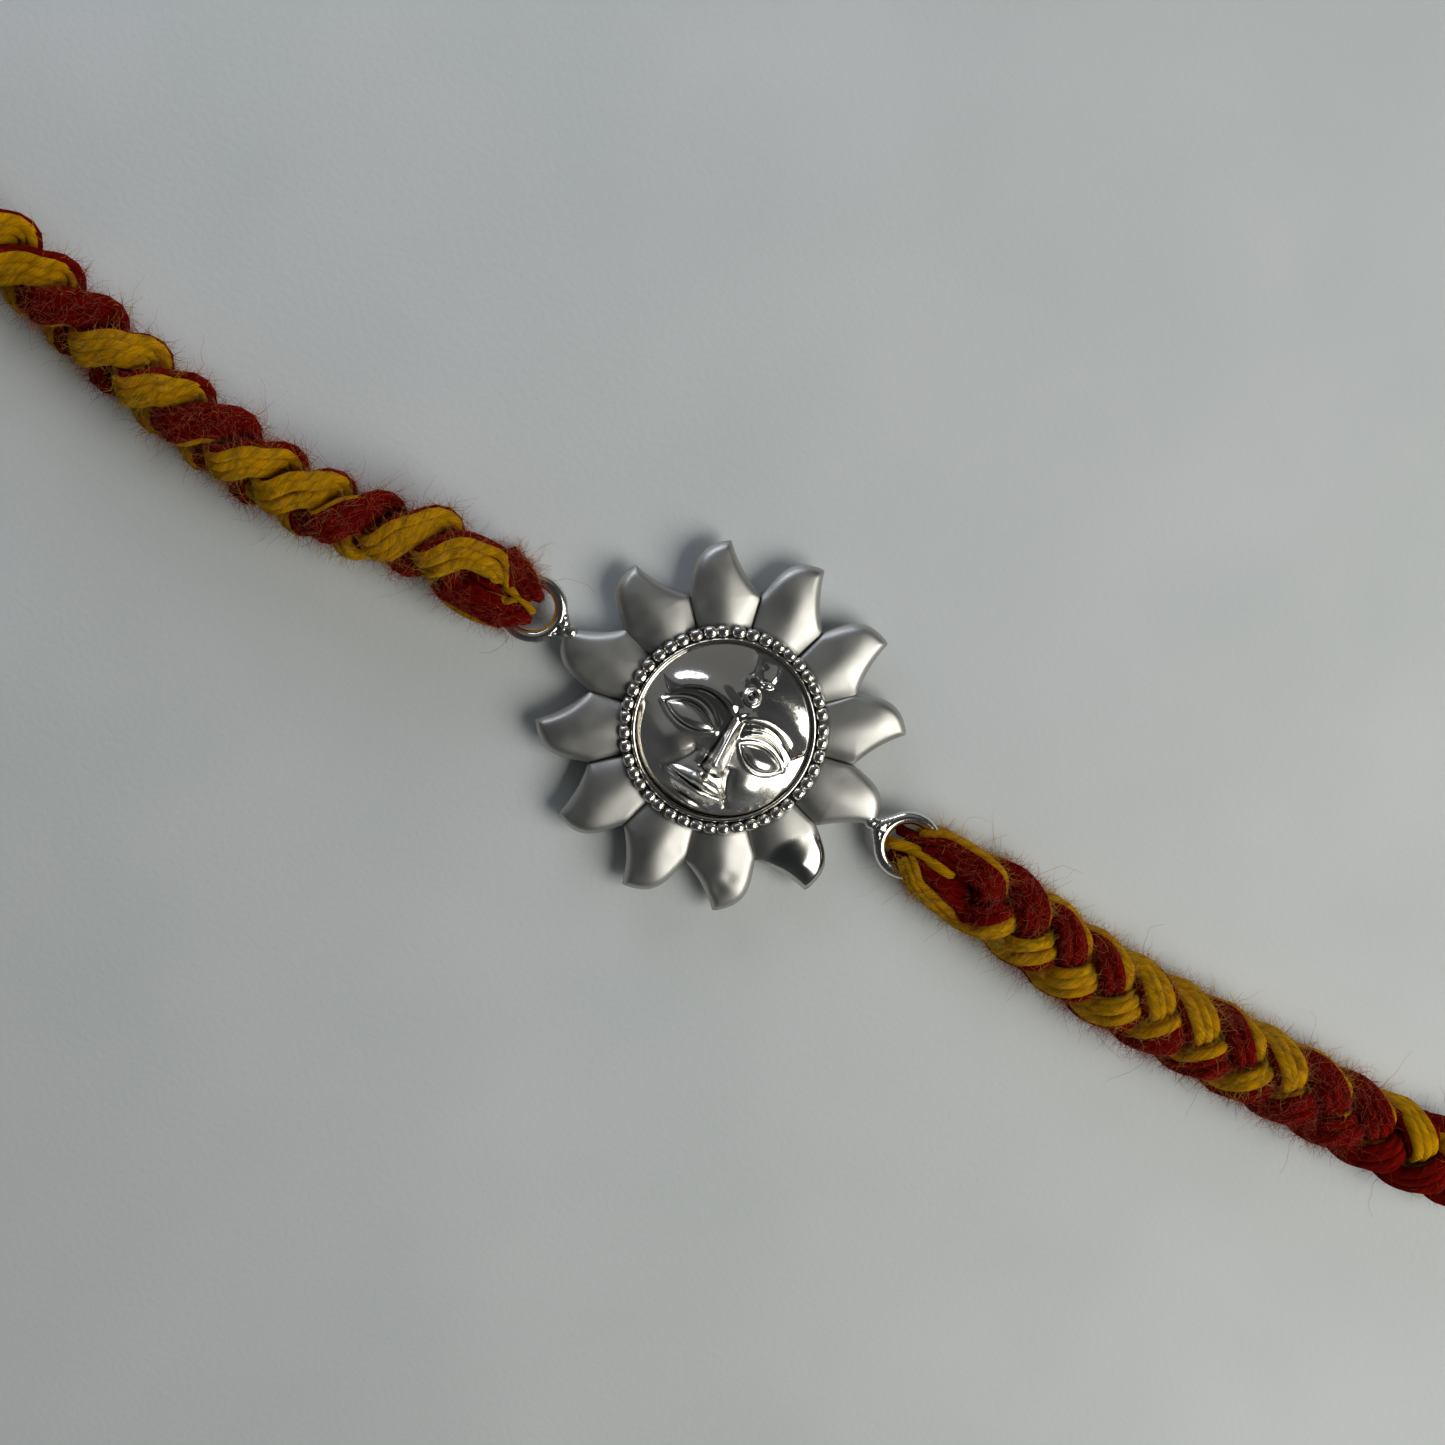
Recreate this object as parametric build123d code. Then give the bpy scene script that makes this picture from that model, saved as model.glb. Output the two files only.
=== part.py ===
from build123d import *
import os
from bisect import bisect
from math import ceil, cos, hypot, pi, radians, sin, sqrt

# Rakhi thread bracelet, in millimetres.
# A cast silver sun with a face is soldered to two jump rings, and a plaited arm of red and yellow
# yarn is looped through each ring. The arms lie straight beside the sun, then sweep round behind its
# forehead and meet in a sleeve of wound thread, so that the whole is one closed loop lying flat.
# X runs from ring to ring, Y towards the top of the face and Z up from the surface below.

# Sun plate
SUN_DIAMETER = 25.0
RAY_COUNT = 12
VALLEY_DIAMETER = 18.4
PLATE_THICKNESS = 0.9
RAY_CROWN = 0.55
RAY_LEAN = 1.8          # degrees that the feet of a ray are turned past its tip

# Rim of beads round the face
BEAD_RING_DIAMETER = 13.2
BEAD_DIAMETER = 0.84
BEAD_COUNT = 44
BEAD_SEAT_HEIGHT = 1.35
COLLAR_WIDTH = 0.3
COLLAR_HEIGHT = 1.6

# Face
FACE_DIAMETER = 11.6
FACE_SEAT_HEIGHT = 1.2
FACE_RISE = 1.5
BROW_WIRE = 0.42

# Jump rings, soldered to two opposite ray tips
RING_OUTER_DIAMETER = 4.7
RING_WIRE = 0.88
RING_GAP = 0.1          # between the ray's tip and the ring's wire, bridged by the solder neck
NECK_WIDTH = 0.95
NECK_THICKNESS = 0.8
NECK_LENGTH = 1.8

# Plaited yarn
PLAIT_WIDTH = 5.4
PLAIT_THICKNESS = 4.1
STITCH_PITCH = 3.6      # from one stitch to the next along one edge of the plait
STRAND_WIDTH = 1.7
STRAND_THICKNESS = 1.36
STRAND_SIDES = 6
STITCH_SECTIONS = 4     # sections for each stitch

# Where a strand goes through its ring
LOOP_WIDTH = 1.1
LOOP_THICKNESS = 0.95
LOOP_GAP = 0.08
LOOP_ANGLE = 38.0       # degrees from the arm's line to each bundle on the ring
TAIL_LENGTH = 2.2
LEAD_IN = 4.2           # from the ring's wire to the first full stitch
LEAD_PULL = 0.4         # how far a strand keeps its heading there, in shares of that run
LEAD_LIFT = 0.06        # keeps it off the surface there

# Sleeve that closes the loop
SLEEVE_LENGTH = 11.0
SLEEVE_WALL = 0.7
SLEEVE_GAP = 0.12
SLEEVE_STRAND = 1.3
STRAND_END_GAP = 0.3
SLEEVE_CENTRE = (-2.0, 71.5)
SLEEVE_TURN = 35.0

# Points that lead the smooth line of each arm, from the sun's centre; its ends are the ring and the sleeve
ARM_ROUTES = {
    "right": [(31.0, -1.1), (46.4, 0.3), (58.5, 0.7), (67.0, 3.5), (71.3, 11.5), (67.5, 22.5),
              (57.0, 37.0), (45.5, 52.5), (34.5, 67.0), (27.5, 74.6), (18.0, 79.2), (9.0, 78.2)],
    "left": [(-29.0, -2.2), (-41.2, -1.5), (-50.5, 0.5), (-60.0, 2.3), (-71.5, 3.6), (-79.0, 9.3),
             (-80.6, 18.8), (-74.6, 27.0), (-62.5, 33.7), (-45.0, 44.2), (-25.0, 56.5)],
}
END_LEAD = 3.0          # how far the line keeps straight at each end
SPAN_STEPS = 24         # places worked out from one leading point to the next

# How far each arm is rolled on its side: share of its length, degrees
ARM_ROLLS = {
    "right": [(0.0, 0.0), (1.0, 0.0)],
    "left": [(0.0, -10.0), (0.07, -72.0), (0.30, -72.0), (0.42, 0.0), (1.0, 0.0)],
}

# Relief of the face in shares of its radius: x, y, length, width, turn in degrees, height above the dome
ALMONDS = {
    "left_eye": (-0.45, -0.03, 0.66, 0.28, 0.0, 0.02),
    "right_eye": (0.49, -0.03, 0.62, 0.29, -2.0, 0.02),
    "upper_lip": (0.04, -0.63, 0.72, 0.15, 0.0, 0.15),
    "lower_lip": (0.05, -0.76, 0.56, 0.17, 0.0, 0.12),
    "left_leaf": (-0.08, 0.76, 0.20, 0.07, 100.0, 0.00),
    "right_leaf": (0.16, 0.76, 0.20, 0.07, 80.0, 0.00),
    "middle_leaf": (0.10, 0.62, 0.20, 0.08, 0.0, 0.01),
}

# Rounded swellings in the same shares: x, y, radius, height above the dome
SWELLINGS = {
    "left_cheek": (-0.52, -0.40, 0.42, 0.05),
    "right_cheek": (0.60, -0.36, 0.42, 0.07),
    "muzzle": (0.04, -0.64, 0.40, 0.10),
    "chin": (0.04, -0.90, 0.20, 0.02),
    "left_nostril": (-0.09, -0.40, 0.09, 0.16),
    "right_nostril": (0.20, -0.40, 0.09, 0.16),
    "tilak": (0.035, 0.50, 0.08, 0.07),
}

# Ridges in the same shares: the three points of an arc, each x, y, height above the dome
RIDGES = {
    "left_brow": ((-0.86, 0.04, 0.00), (-0.46, 0.38, 0.05), (0.00, 0.19, 0.09)),
    "right_brow": ((0.06, 0.19, 0.09), (0.46, 0.38, 0.05), (0.90, 0.12, 0.00)),
    "left_lid": ((-0.78, -0.03, 0.00), (-0.44, 0.19, 0.05), (-0.12, -0.02, 0.03)),
    "right_lid": ((0.18, -0.02, 0.03), (0.50, 0.19, 0.05), (0.80, -0.04, 0.00)),
}
NOSE_BRIDGE = (0.05, 0.17, 0.05)
NOSE_TIP = (0.06, -0.36, 0.20)

SUN_RADIUS = SUN_DIAMETER / 2
VALLEY_RADIUS = VALLEY_DIAMETER / 2
BEAD_RING_RADIUS = BEAD_RING_DIAMETER / 2
FACE_RADIUS = FACE_DIAMETER / 2
RING_CENTRE_RADIUS = (RING_OUTER_DIAMETER - RING_WIRE) / 2
RING_X = SUN_RADIUS + RING_GAP + RING_OUTER_DIAMETER / 2
LOOP_RADIUS = RING_WIRE / 2 + LOOP_GAP + LOOP_THICKNESS / 2
RING_Z = LOOP_RADIUS + LOOP_THICKNESS / 2
BACK_Z = RING_Z - PLATE_THICKNESS / 2
UP = Vector(0, 0, 1)


def blend(first, last, share):
    return first + (last - first) * share


def smooth(share):
    share = min(max(share, 0.0), 1.0)
    return share * share * (3 - 2 * share)


def look_up(table, share):
    """Value of a two-column table, eased from row to row."""
    for (start, first), (end, last) in zip(table, table[1:]):
        if share <= end:
            return blend(first, last, smooth((share - start) / (end - start)))
    return table[-1][1]


# Sun

def polar(radius, angle):
    return Vector(radius * cos(radians(angle)), radius * sin(radians(angle)))


def ray_outline(shrink, height):
    """Outline of the ray along +X, drawn in towards its own middle by a share, at a height."""
    step = 360 / RAY_COUNT
    inner = BEAD_RING_RADIUS
    tip = polar(SUN_RADIUS, 0)
    left = polar(VALLEY_RADIUS, step / 2 + RAY_LEAN)
    right = polar(VALLEY_RADIUS, RAY_LEAN - step / 2)
    foot_left = polar(inner, step / 2 + RAY_LEAN)
    foot_right = polar(inner, RAY_LEAN - step / 2)
    length = SUN_RADIUS - VALLEY_RADIUS
    shoulder = left + Vector(0.46 * length, -0.07 * length)
    brow = tip + Vector(-0.10 * length, 0.78 * length)
    hollow = (tip + right) / 2 + Vector(-0.05 * length, 0.09 * length)
    middle = Vector((VALLEY_RADIUS + SUN_RADIUS) / 2 - 0.35 * length, 0.05 * length)

    def place(point):
        return blend(point, middle, shrink) + UP * height

    return Wire([
        Edge.make_bezier(place(left), place(shoulder), place(brow), place(tip)),
        Edge.make_three_point_arc(place(tip), place(hollow), place(right)),
        Edge.make_line(place(right), place(foot_right)),
        Edge.make_line(place(foot_right), place(foot_left)),
        Edge.make_line(place(foot_left), place(left)),
    ])


def ray():
    """One curled ray: a flat slab with a puffed top."""
    top = PLATE_THICKNESS + RAY_CROWN
    slab = extrude(Face(ray_outline(0.0, 0.0)), PLATE_THICKNESS, dir=(0, 0, 1))
    crown = loft([
        Face(ray_outline(0.05, PLATE_THICKNESS - 0.1)),
        Face(ray_outline(0.10, blend(PLATE_THICKNESS, top, 0.45))),
        Face(ray_outline(0.28, blend(PLATE_THICKNESS, top, 0.85))),
        Face(ray_outline(0.60, top)),
    ], ruled=True)
    return slab + crown


def joined(forms):
    """One solid made by adding the forms in turn."""
    whole = forms[0]
    for form in forms[1:]:
        whole += form
    return whole


def disc(radius, low, high):
    return Pos(0, 0, (low + high) / 2) * Cylinder(radius, high - low)


def band(centre_radius, width, low, high):
    return disc(centre_radius + width / 2, low, high) - disc(centre_radius - width / 2, low, high)


def bead_rim():
    """The seat, its round beads and the thin collar inside them."""
    rim = band(BEAD_RING_RADIUS, BEAD_DIAMETER * 1.1, PLATE_THICKNESS / 2, BEAD_SEAT_HEIGHT)
    collar_radius = BEAD_RING_RADIUS - BEAD_DIAMETER * 0.55 - COLLAR_WIDTH / 2
    collar = band(collar_radius, COLLAR_WIDTH * 1.2, PLATE_THICKNESS / 2, COLLAR_HEIGHT)
    beads = [
        Pos(polar(BEAD_RING_RADIUS, i * 360 / BEAD_COUNT) + UP * BEAD_SEAT_HEIGHT) * Sphere(BEAD_DIAMETER / 2)
        for i in range(BEAD_COUNT)
    ]
    return rim + collar + beads


def face_point(x_share, y_share, lift_share=0.0):
    """A point over the face's dome, lifted by a share of the face's radius."""
    x = x_share * FACE_RADIUS
    y = y_share * FACE_RADIUS
    ball = (FACE_RADIUS ** 2 + FACE_RISE ** 2) / (2 * FACE_RISE)
    dome = sqrt(ball ** 2 - min(hypot(x, y), FACE_RADIUS) ** 2) - (ball - FACE_RISE)
    return Vector(x, y, FACE_SEAT_HEIGHT + dome + lift_share * FACE_RADIUS)


def almond(row):
    """A pointed oval with a rounded top, standing out of the dome."""
    x, y, length, width, turn, lift = row
    half = length * FACE_RADIUS / 2
    bulge = width * FACE_RADIUS / 2
    ball = (half ** 2 + bulge ** 2) / (2 * bulge)
    outline = Wire([
        Edge.make_three_point_arc((-half, 0, -bulge), (0, bulge, -bulge), (half, 0, -bulge)),
        Edge.make_three_point_arc((half, 0, -bulge), (0, -bulge, -bulge), (-half, 0, -bulge)),
    ])
    prism = extrude(Face(outline), 2 * bulge, dir=(0, 0, 1))
    return Pos(face_point(x, y, lift)) * Rot(0, 0, turn) * (prism & Pos(0, 0, bulge - ball) * Sphere(ball))


def swelling(row):
    """A ball whose top stands a little over the dome."""
    x, y, radius, lift = row
    ball = radius * FACE_RADIUS
    return Pos(face_point(x, y, lift) - UP * ball) * Sphere(ball)


def ridge(row):
    """A round ridge along an arc, closed by a ball at each end."""
    start, middle, end = (face_point(*point) for point in row)
    arc = Edge.make_three_point_arc(start, middle, end)
    section = Plane(origin=start, z_dir=arc.tangent_at(0)) * Circle(BROW_WIRE / 2)
    ends = [Pos(point) * Sphere(BROW_WIRE / 2) for point in (start, end)]
    return sweep(section, path=arc) + ends


def nose():
    """A narrow ridge that widens to a round tip."""
    bridge = face_point(*NOSE_BRIDGE)
    tip = face_point(*NOSE_TIP)
    run = tip - bridge
    thin = 0.05 * FACE_RADIUS
    wide = 0.13 * FACE_RADIUS
    shaft = Plane(origin=(bridge + tip) / 2 - UP * wide, z_dir=run) * Cone(thin, wide, run.length)
    return shaft + Pos(tip - UP * wide) * Sphere(wide)


def face():
    """The domed face and its relief, trimmed to the disc inside the collar."""
    ball = (FACE_RADIUS ** 2 + FACE_RISE ** 2) / (2 * FACE_RISE)
    dome = Pos(0, 0, FACE_SEAT_HEIGHT + FACE_RISE - ball) * Sphere(ball)
    relief = [almond(row) for row in ALMONDS.values()]
    relief += [swelling(row) for row in SWELLINGS.values()]
    relief += [ridge(row) for row in RIDGES.values()]
    relief += [nose()]
    room = disc(FACE_RADIUS, PLATE_THICKNESS / 2, FACE_SEAT_HEIGHT + FACE_RISE + FACE_RADIUS)
    return joined([dome & room] + [form & room for form in relief])


def ring_and_neck():
    """The jump ring on +X, with the solder neck that joins it to the ray's tip."""
    ring = Pos(RING_X, 0, PLATE_THICKNESS / 2) * Torus(RING_CENTRE_RADIUS, RING_WIRE / 2)
    neck_middle = RING_X - RING_CENTRE_RADIUS - NECK_LENGTH / 2
    neck = Pos(neck_middle, 0, PLATE_THICKNESS / 2) * Box(NECK_LENGTH, NECK_WIDTH, NECK_THICKNESS)
    return neck + ring


def sun_pendant():
    hub = disc(BEAD_RING_RADIUS + BEAD_DIAMETER, 0, PLATE_THICKNESS)
    seat = disc(BEAD_RING_RADIUS, 0, FACE_SEAT_HEIGHT)
    one_ray = ray()
    rays = [Rot(0, 0, i * 360 / RAY_COUNT) * one_ray for i in range(RAY_COUNT)]
    ring = ring_and_neck()
    rings = [ring, Rot(0, 0, 180) * ring]
    return Pos(0, 0, BACK_Z) * joined([hub, seat] + rays + [bead_rim(), face()] + rings)


# Plaited arms

EDGE_SHARE = 0.02       # keeps the plait's edges a little fuller than a plain wave
CROSSING_SHARE = 0.33   # steepens each crossing, so that the strands clear each other
LEAN = 0.95             # radians that a strand's flat leans over at the edge
ACROSS = (PLAIT_WIDTH - STRAND_WIDTH) / 2 * 1.06
RISE = (PLAIT_THICKNESS - STRAND_THICKNESS) / 2 / 1.15
OVER_PHASE, UNDER_PHASE, EDGE_PHASE = 150.0, 30.0, 270.0
SLEEVE_SPREAD = (SLEEVE_STRAND + LOOP_GAP) / sqrt(3)
SLEEVE_BORE = SLEEVE_SPREAD + SLEEVE_STRAND / 2 + SLEEVE_GAP


def strand_offset(phase, fullness):
    """Where a strand lies in the plait: across it and above its middle."""
    across = sin(phase) + EDGE_SHARE * fullness * sin(3 * phase)
    rise = sin(2 * phase) + CROSSING_SHARE * fullness * sin(4 * phase)
    return blend(SLEEVE_SPREAD, ACROSS, fullness) * across, -blend(SLEEVE_SPREAD, RISE, fullness) * rise


def rest_height(roll):
    """Height of a plait's middle when it lies rolled by some degrees."""
    turn = radians(roll)
    steps = 36
    heights = []
    for step in range(steps):
        phase = 2 * pi * step / steps
        across, rise = strand_offset(phase, 1.0)
        slope = LEAN * sin(phase) - turn
        reach = hypot(STRAND_WIDTH / 2 * sin(slope), STRAND_THICKNESS / 2 * cos(slope))
        heights.append(reach - across * sin(turn) - rise * cos(turn))
    return max(heights)


def section_ring(centre, along, normal, width, thickness):
    """Corners of one strand section, square to its line."""
    along = along.normalized()
    wide = normal.cross(along).normalized()
    thin = along.cross(wide)
    corners = []
    for i in range(STRAND_SIDES):
        angle = 2 * pi * i / STRAND_SIDES
        corners.append(centre + wide * (width / 2 * cos(angle)) + thin * (thickness / 2 * sin(angle)))
    return corners


def faceted_tube(rings):
    """A closed solid through rings of corners."""
    faces = [Face(Wire.make_polygon(rings[0])), Face(Wire.make_polygon(rings[-1]))]
    for ring, following in zip(rings, rings[1:]):
        for i in range(STRAND_SIDES):
            j = (i + 1) % STRAND_SIDES
            faces.append(Face(Wire.make_polygon([ring[i], ring[j], following[j]])))
            faces.append(Face(Wire.make_polygon([ring[i], following[j], following[i]])))
    return Solid(Shell(faces))


class Line:
    """A smooth line led by points, measured along its length."""

    def __init__(self, points):
        self.places = []
        self.headings = []
        for a, b, c, d in zip(points, points[1:], points[2:], points[3:]):
            for i in range(SPAN_STEPS):
                t = i / SPAN_STEPS
                u = 1 - t
                near = b * (4 - 3 * t * t * (1 + u)) + c * (4 - 3 * u * u * (1 + t))
                self.places.append((a * u**3 + near + d * t**3) / 6)
                turning = c * (1 + 2 * t - 3 * t * t) - b * (1 + 2 * u - 3 * u * u)
                self.headings.append((d * t * t + turning - a * u * u) / 2)
        self.distances = [0.0]
        for place, following in zip(self.places, self.places[1:]):
            self.distances.append(self.distances[-1] + (following - place).length)
        self.length = self.distances[-1]

    def at(self, distance):
        """Place and heading at a distance from the start."""
        i = min(max(bisect(self.distances, distance), 1), len(self.distances) - 1)
        share = (distance - self.distances[i - 1]) / (self.distances[i] - self.distances[i - 1])
        place = blend(self.places[i - 1], self.places[i], share)
        return place, blend(self.headings[i - 1], self.headings[i], share).normalized()


class Arm:
    """The line that one arm follows, and the plait round it."""

    def __init__(self, side):
        self.side = side
        self.sign = 1 if side == "right" else -1
        self.forward = Vector(self.sign, 0, 0)
        self.rolls = ARM_ROLLS[side]
        reach = RING_X + RING_CENTRE_RADIUS * cos(radians(LOOP_ANGLE)) + LEAD_IN
        turn = radians(SLEEVE_TURN)
        self.sleeve_axis = Vector(cos(turn), sin(turn), 0) * self.sign
        mouth = Vector(*SLEEVE_CENTRE, 0) + self.sleeve_axis * (SLEEVE_LENGTH / 2)
        points = [self.forward * (reach + shift * END_LEAD) for shift in (-1, 0, 1)]
        points += [Vector(*point, 0) for point in ARM_ROUTES[side]]
        points += [mouth + self.sleeve_axis * (shift * END_LEAD) for shift in (1, 0, -1)]
        self.line = Line(points)
        self.length = self.line.length
        stitches = self.length / (STITCH_PITCH * 3)
        steps = 3 * STITCH_SECTIONS
        self.full_steps = 2 * round((stitches - 0.5) * steps / 2 - 0.5) + 1
        self.period = self.length / (self.full_steps / steps + 0.5)

    def stations(self):
        """Distance, phase past the start and fullness of each section of the plait."""
        steps = 3 * STITCH_SECTIONS
        rows = [(i * self.period / steps, 2 * pi * i / steps, 1.0) for i in range(self.full_steps + 1)]
        full_length, full_phase, _ = rows[-1]
        taper = self.period / 2
        count = ceil(steps * 0.75)
        for i in range(1, count + 1):
            share = i / count
            phase = full_phase + pi * (share - share * share / 2)
            rows.append((full_length + taper * share, phase, 1 - smooth(share)))
        return rows

    def frame_at(self, distance):
        """Middle of the plait, its direction, and its across and up directions."""
        share = distance / self.length
        middle, along = self.line.at(distance)
        roll = look_up(self.rolls, share)
        height = rest_height(roll)
        sleeve_height = SLEEVE_BORE + SLEEVE_WALL
        settle = smooth((distance - self.length + self.period) / self.period)
        side = UP.cross(along)
        turn = radians(roll)
        across = side * cos(turn) + UP * sin(turn)
        above = UP * cos(turn) - side * sin(turn)
        return middle + UP * blend(height, sleeve_height, settle), along, across, above

    def strand_centre(self, distance, phase, fullness):
        middle, _, across, above = self.frame_at(distance)
        shift, rise = strand_offset(phase, fullness)
        return middle + across * shift + above * rise

    def plait_rings(self, start_phase):
        """Sections of one strand from the first full stitch into the sleeve."""
        rows = self.stations()
        phases = [phase + radians(start_phase) for _, phase, _ in rows]
        centres = [self.strand_centre(row[0], phase, row[2]) for row, phase in zip(rows, phases)]
        reach = SLEEVE_LENGTH / 2 - STRAND_END_GAP / 2
        centres.append(centres[-1] - self.sleeve_axis * reach)
        rows.append(rows[-1])
        phases.append(phases[-1])
        rings = []
        for i, (row, phase, centre) in enumerate(zip(rows, phases, centres)):
            before = centres[max(i - 1, 0)]
            after = centres[min(i + 1, len(centres) - 1)]
            along = after - before if 0 < i < len(centres) - 1 else -self.sleeve_axis
            if i == 0:
                along = centres[1] - centres[0]
            _, _, across, above = self.frame_at(min(row[0], self.length))
            lean = LEAN * sin(phase) * row[2]
            normal = above * cos(lean) + across * sin(lean)
            width = blend(SLEEVE_STRAND, STRAND_WIDTH, row[2] ** 2)
            thickness = blend(SLEEVE_STRAND, STRAND_THICKNESS, row[2] ** 2)
            rings.append((centre, along, normal, width, thickness))
        return rings

    def ring_point(self, loop_angle, turn):
        """Centre, direction and normal of a strand that goes round the ring's wire."""
        side = UP.cross(self.forward)
        outward = self.forward * cos(radians(loop_angle)) + side * sin(radians(loop_angle))
        wire = self.forward * RING_X + UP * RING_Z + outward * RING_CENTRE_RADIUS
        angle = radians(turn)
        normal = outward * cos(angle) + UP * sin(angle)
        along = outward * sin(angle) - UP * cos(angle)
        return wire + normal * LOOP_RADIUS, along, normal, outward

    def over_rings(self, loop_angle, first_turn, tail):
        """Sections of a strand that comes up through the ring and over its wire."""
        rings = []
        if tail:
            centre, along, normal, outward = self.ring_point(loop_angle, first_turn)
            for share in (1.0, 0.5):
                rings.append((centre + outward * (tail * share), along, normal, LOOP_WIDTH, LOOP_THICKNESS))
        steps = ceil((first_turn - 90) / 30)
        for i in range(steps + 1):
            centre, along, normal, _ = self.ring_point(loop_angle, blend(first_turn, 90, i / steps))
            rings.append((centre, along, normal, LOOP_WIDTH, LOOP_THICKNESS))
        return rings

    def under_rings(self, loop_angle, first_turn):
        """Sections of the same bundle's other half, which leaves the ring under its wire."""
        rings = []
        steps = 3
        for i in range(steps + 1):
            centre, along, normal, _ = self.ring_point(loop_angle, blend(first_turn, 270, i / steps))
            rings.append((centre, -along, -normal, LOOP_WIDTH, LOOP_THICKNESS))
        return rings

    def strand(self, start_phase, loop_rings):
        """One whole strand, from the ring to the sleeve."""
        plait = self.plait_rings(start_phase)
        centre, along, normal, _, _ = loop_rings[-1]
        target, target_along, target_normal, _, _ = plait[0]
        reach = (target - centre).length
        start_pull = along.normalized() * (reach * LEAD_PULL)
        end_pull = target_along.normalized() * (reach * LEAD_PULL)
        lead = []
        lead_count = 4
        for i in range(1, lead_count):
            t = i / lead_count
            h1, h2, h3, h4 = (2 * t**3 - 3 * t**2 + 1, t**3 - 2 * t**2 + t, 3 * t**2 - 2 * t**3, t**3 - t**2)
            place = centre * h1 + start_pull * h2 + target * h3 + end_pull * h4
            g1, g2, g3, g4 = (6 * t**2 - 6 * t, 3 * t**2 - 4 * t + 1, 6 * t - 6 * t**2, 3 * t**2 - 2 * t)
            heading = centre * g1 + start_pull * g2 + target * g3 + end_pull * g4
            width = blend(LOOP_WIDTH, STRAND_WIDTH, t)
            thickness = blend(LOOP_THICKNESS, STRAND_THICKNESS, t)
            place.Z = max(place.Z, thickness / 2 + LEAD_LIFT)
            lead.append((place, heading, blend(normal, target_normal, t), width, thickness))
        rows = loop_rings + lead + plait
        return faceted_tube([section_ring(*row) for row in rows])

    def strands(self):
        """The three strands: two halves of one folded bundle, and one looped with a short tail."""
        half_gap = LOOP_GAP / 2 / LOOP_RADIUS * 180 / pi
        return {
            f"{self.side}_strand_over": self.strand(
                OVER_PHASE, self.over_rings(LOOP_ANGLE, 180 - half_gap, 0)),
            f"{self.side}_strand_under": self.strand(
                UNDER_PHASE, self.under_rings(LOOP_ANGLE, 180 + half_gap)),
            f"{self.side}_strand_edge": self.strand(
                EDGE_PHASE, self.over_rings(-LOOP_ANGLE, 270, TAIL_LENGTH)),
        }


def closing_sleeve():
    """The sleeve of wound thread that holds all six strand ends."""
    outer = SLEEVE_BORE + SLEEVE_WALL
    turn = radians(SLEEVE_TURN)
    axis = Vector(cos(turn), sin(turn), 0)
    middle = Plane(origin=Vector(*SLEEVE_CENTRE, outer), z_dir=axis)
    return middle * (Cylinder(outer, SLEEVE_LENGTH) - Cylinder(SLEEVE_BORE, SLEEVE_LENGTH))


def main():
    nodes = {"sun_pendant": sun_pendant()}
    for side in ("right", "left"):
        arm = Arm(side)
        nodes.update(arm.strands())
        print(side, "arm length", round(arm.length, 1), "period", round(arm.period, 2))
    nodes["closing_sleeve"] = closing_sleeve()

    low = Vector(*(min(getattr(shape.bounding_box().min, axis) for shape in nodes.values()) for axis in "XYZ"))
    high = Vector(*(max(getattr(shape.bounding_box().max, axis) for shape in nodes.values()) for axis in "XYZ"))
    shift = Vector(-(low.X + high.X) / 2, -(low.Y + high.Y) / 2, -low.Z)
    print("sun centre", shift.X, shift.Y, "back", shift.Z + BACK_Z, "ring", shift.Z + RING_Z)
    os.makedirs("parts", exist_ok=True)
    for name, shape in nodes.items():
        export_step(Pos(shift) * shape, f"parts/{name}.step")


main()
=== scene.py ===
import math
import random
from bisect import bisect

import bmesh
import bpy
import numpy as np
from mathutils import Matrix, Vector


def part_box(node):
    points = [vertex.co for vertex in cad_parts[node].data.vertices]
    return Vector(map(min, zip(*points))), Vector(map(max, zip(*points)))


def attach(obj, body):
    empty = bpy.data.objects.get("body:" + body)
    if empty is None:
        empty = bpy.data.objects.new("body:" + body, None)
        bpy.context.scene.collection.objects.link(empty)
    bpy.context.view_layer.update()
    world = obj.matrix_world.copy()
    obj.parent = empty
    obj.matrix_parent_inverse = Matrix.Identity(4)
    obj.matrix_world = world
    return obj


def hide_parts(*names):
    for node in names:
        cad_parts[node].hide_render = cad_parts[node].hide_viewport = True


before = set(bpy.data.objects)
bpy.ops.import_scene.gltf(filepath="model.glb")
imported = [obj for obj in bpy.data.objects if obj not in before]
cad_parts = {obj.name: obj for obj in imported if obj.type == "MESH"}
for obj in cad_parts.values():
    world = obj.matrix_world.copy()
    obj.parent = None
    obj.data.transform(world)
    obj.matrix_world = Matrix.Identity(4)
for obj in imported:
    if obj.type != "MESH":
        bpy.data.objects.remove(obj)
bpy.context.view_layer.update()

# Lengths below are in millimetres from the sun's middle, and MM turns them to metres.
MM = 0.001
UP = Vector((0, 0, 1))

# Where the sun lies
SUN_LOW, SUN_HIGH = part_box("sun_pendant")
SUN_MIDDLE = (SUN_LOW + SUN_HIGH) / 2
SUN_PLACE = Matrix.Translation((SUN_MIDDLE.x, SUN_MIDDLE.y, SUN_LOW.z)) @ Matrix.Scale(MM, 4)
PLAIT_PLACE = Matrix.Translation((SUN_MIDDLE.x, SUN_MIDDLE.y, 0.0)) @ Matrix.Scale(MM, 4)

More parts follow.
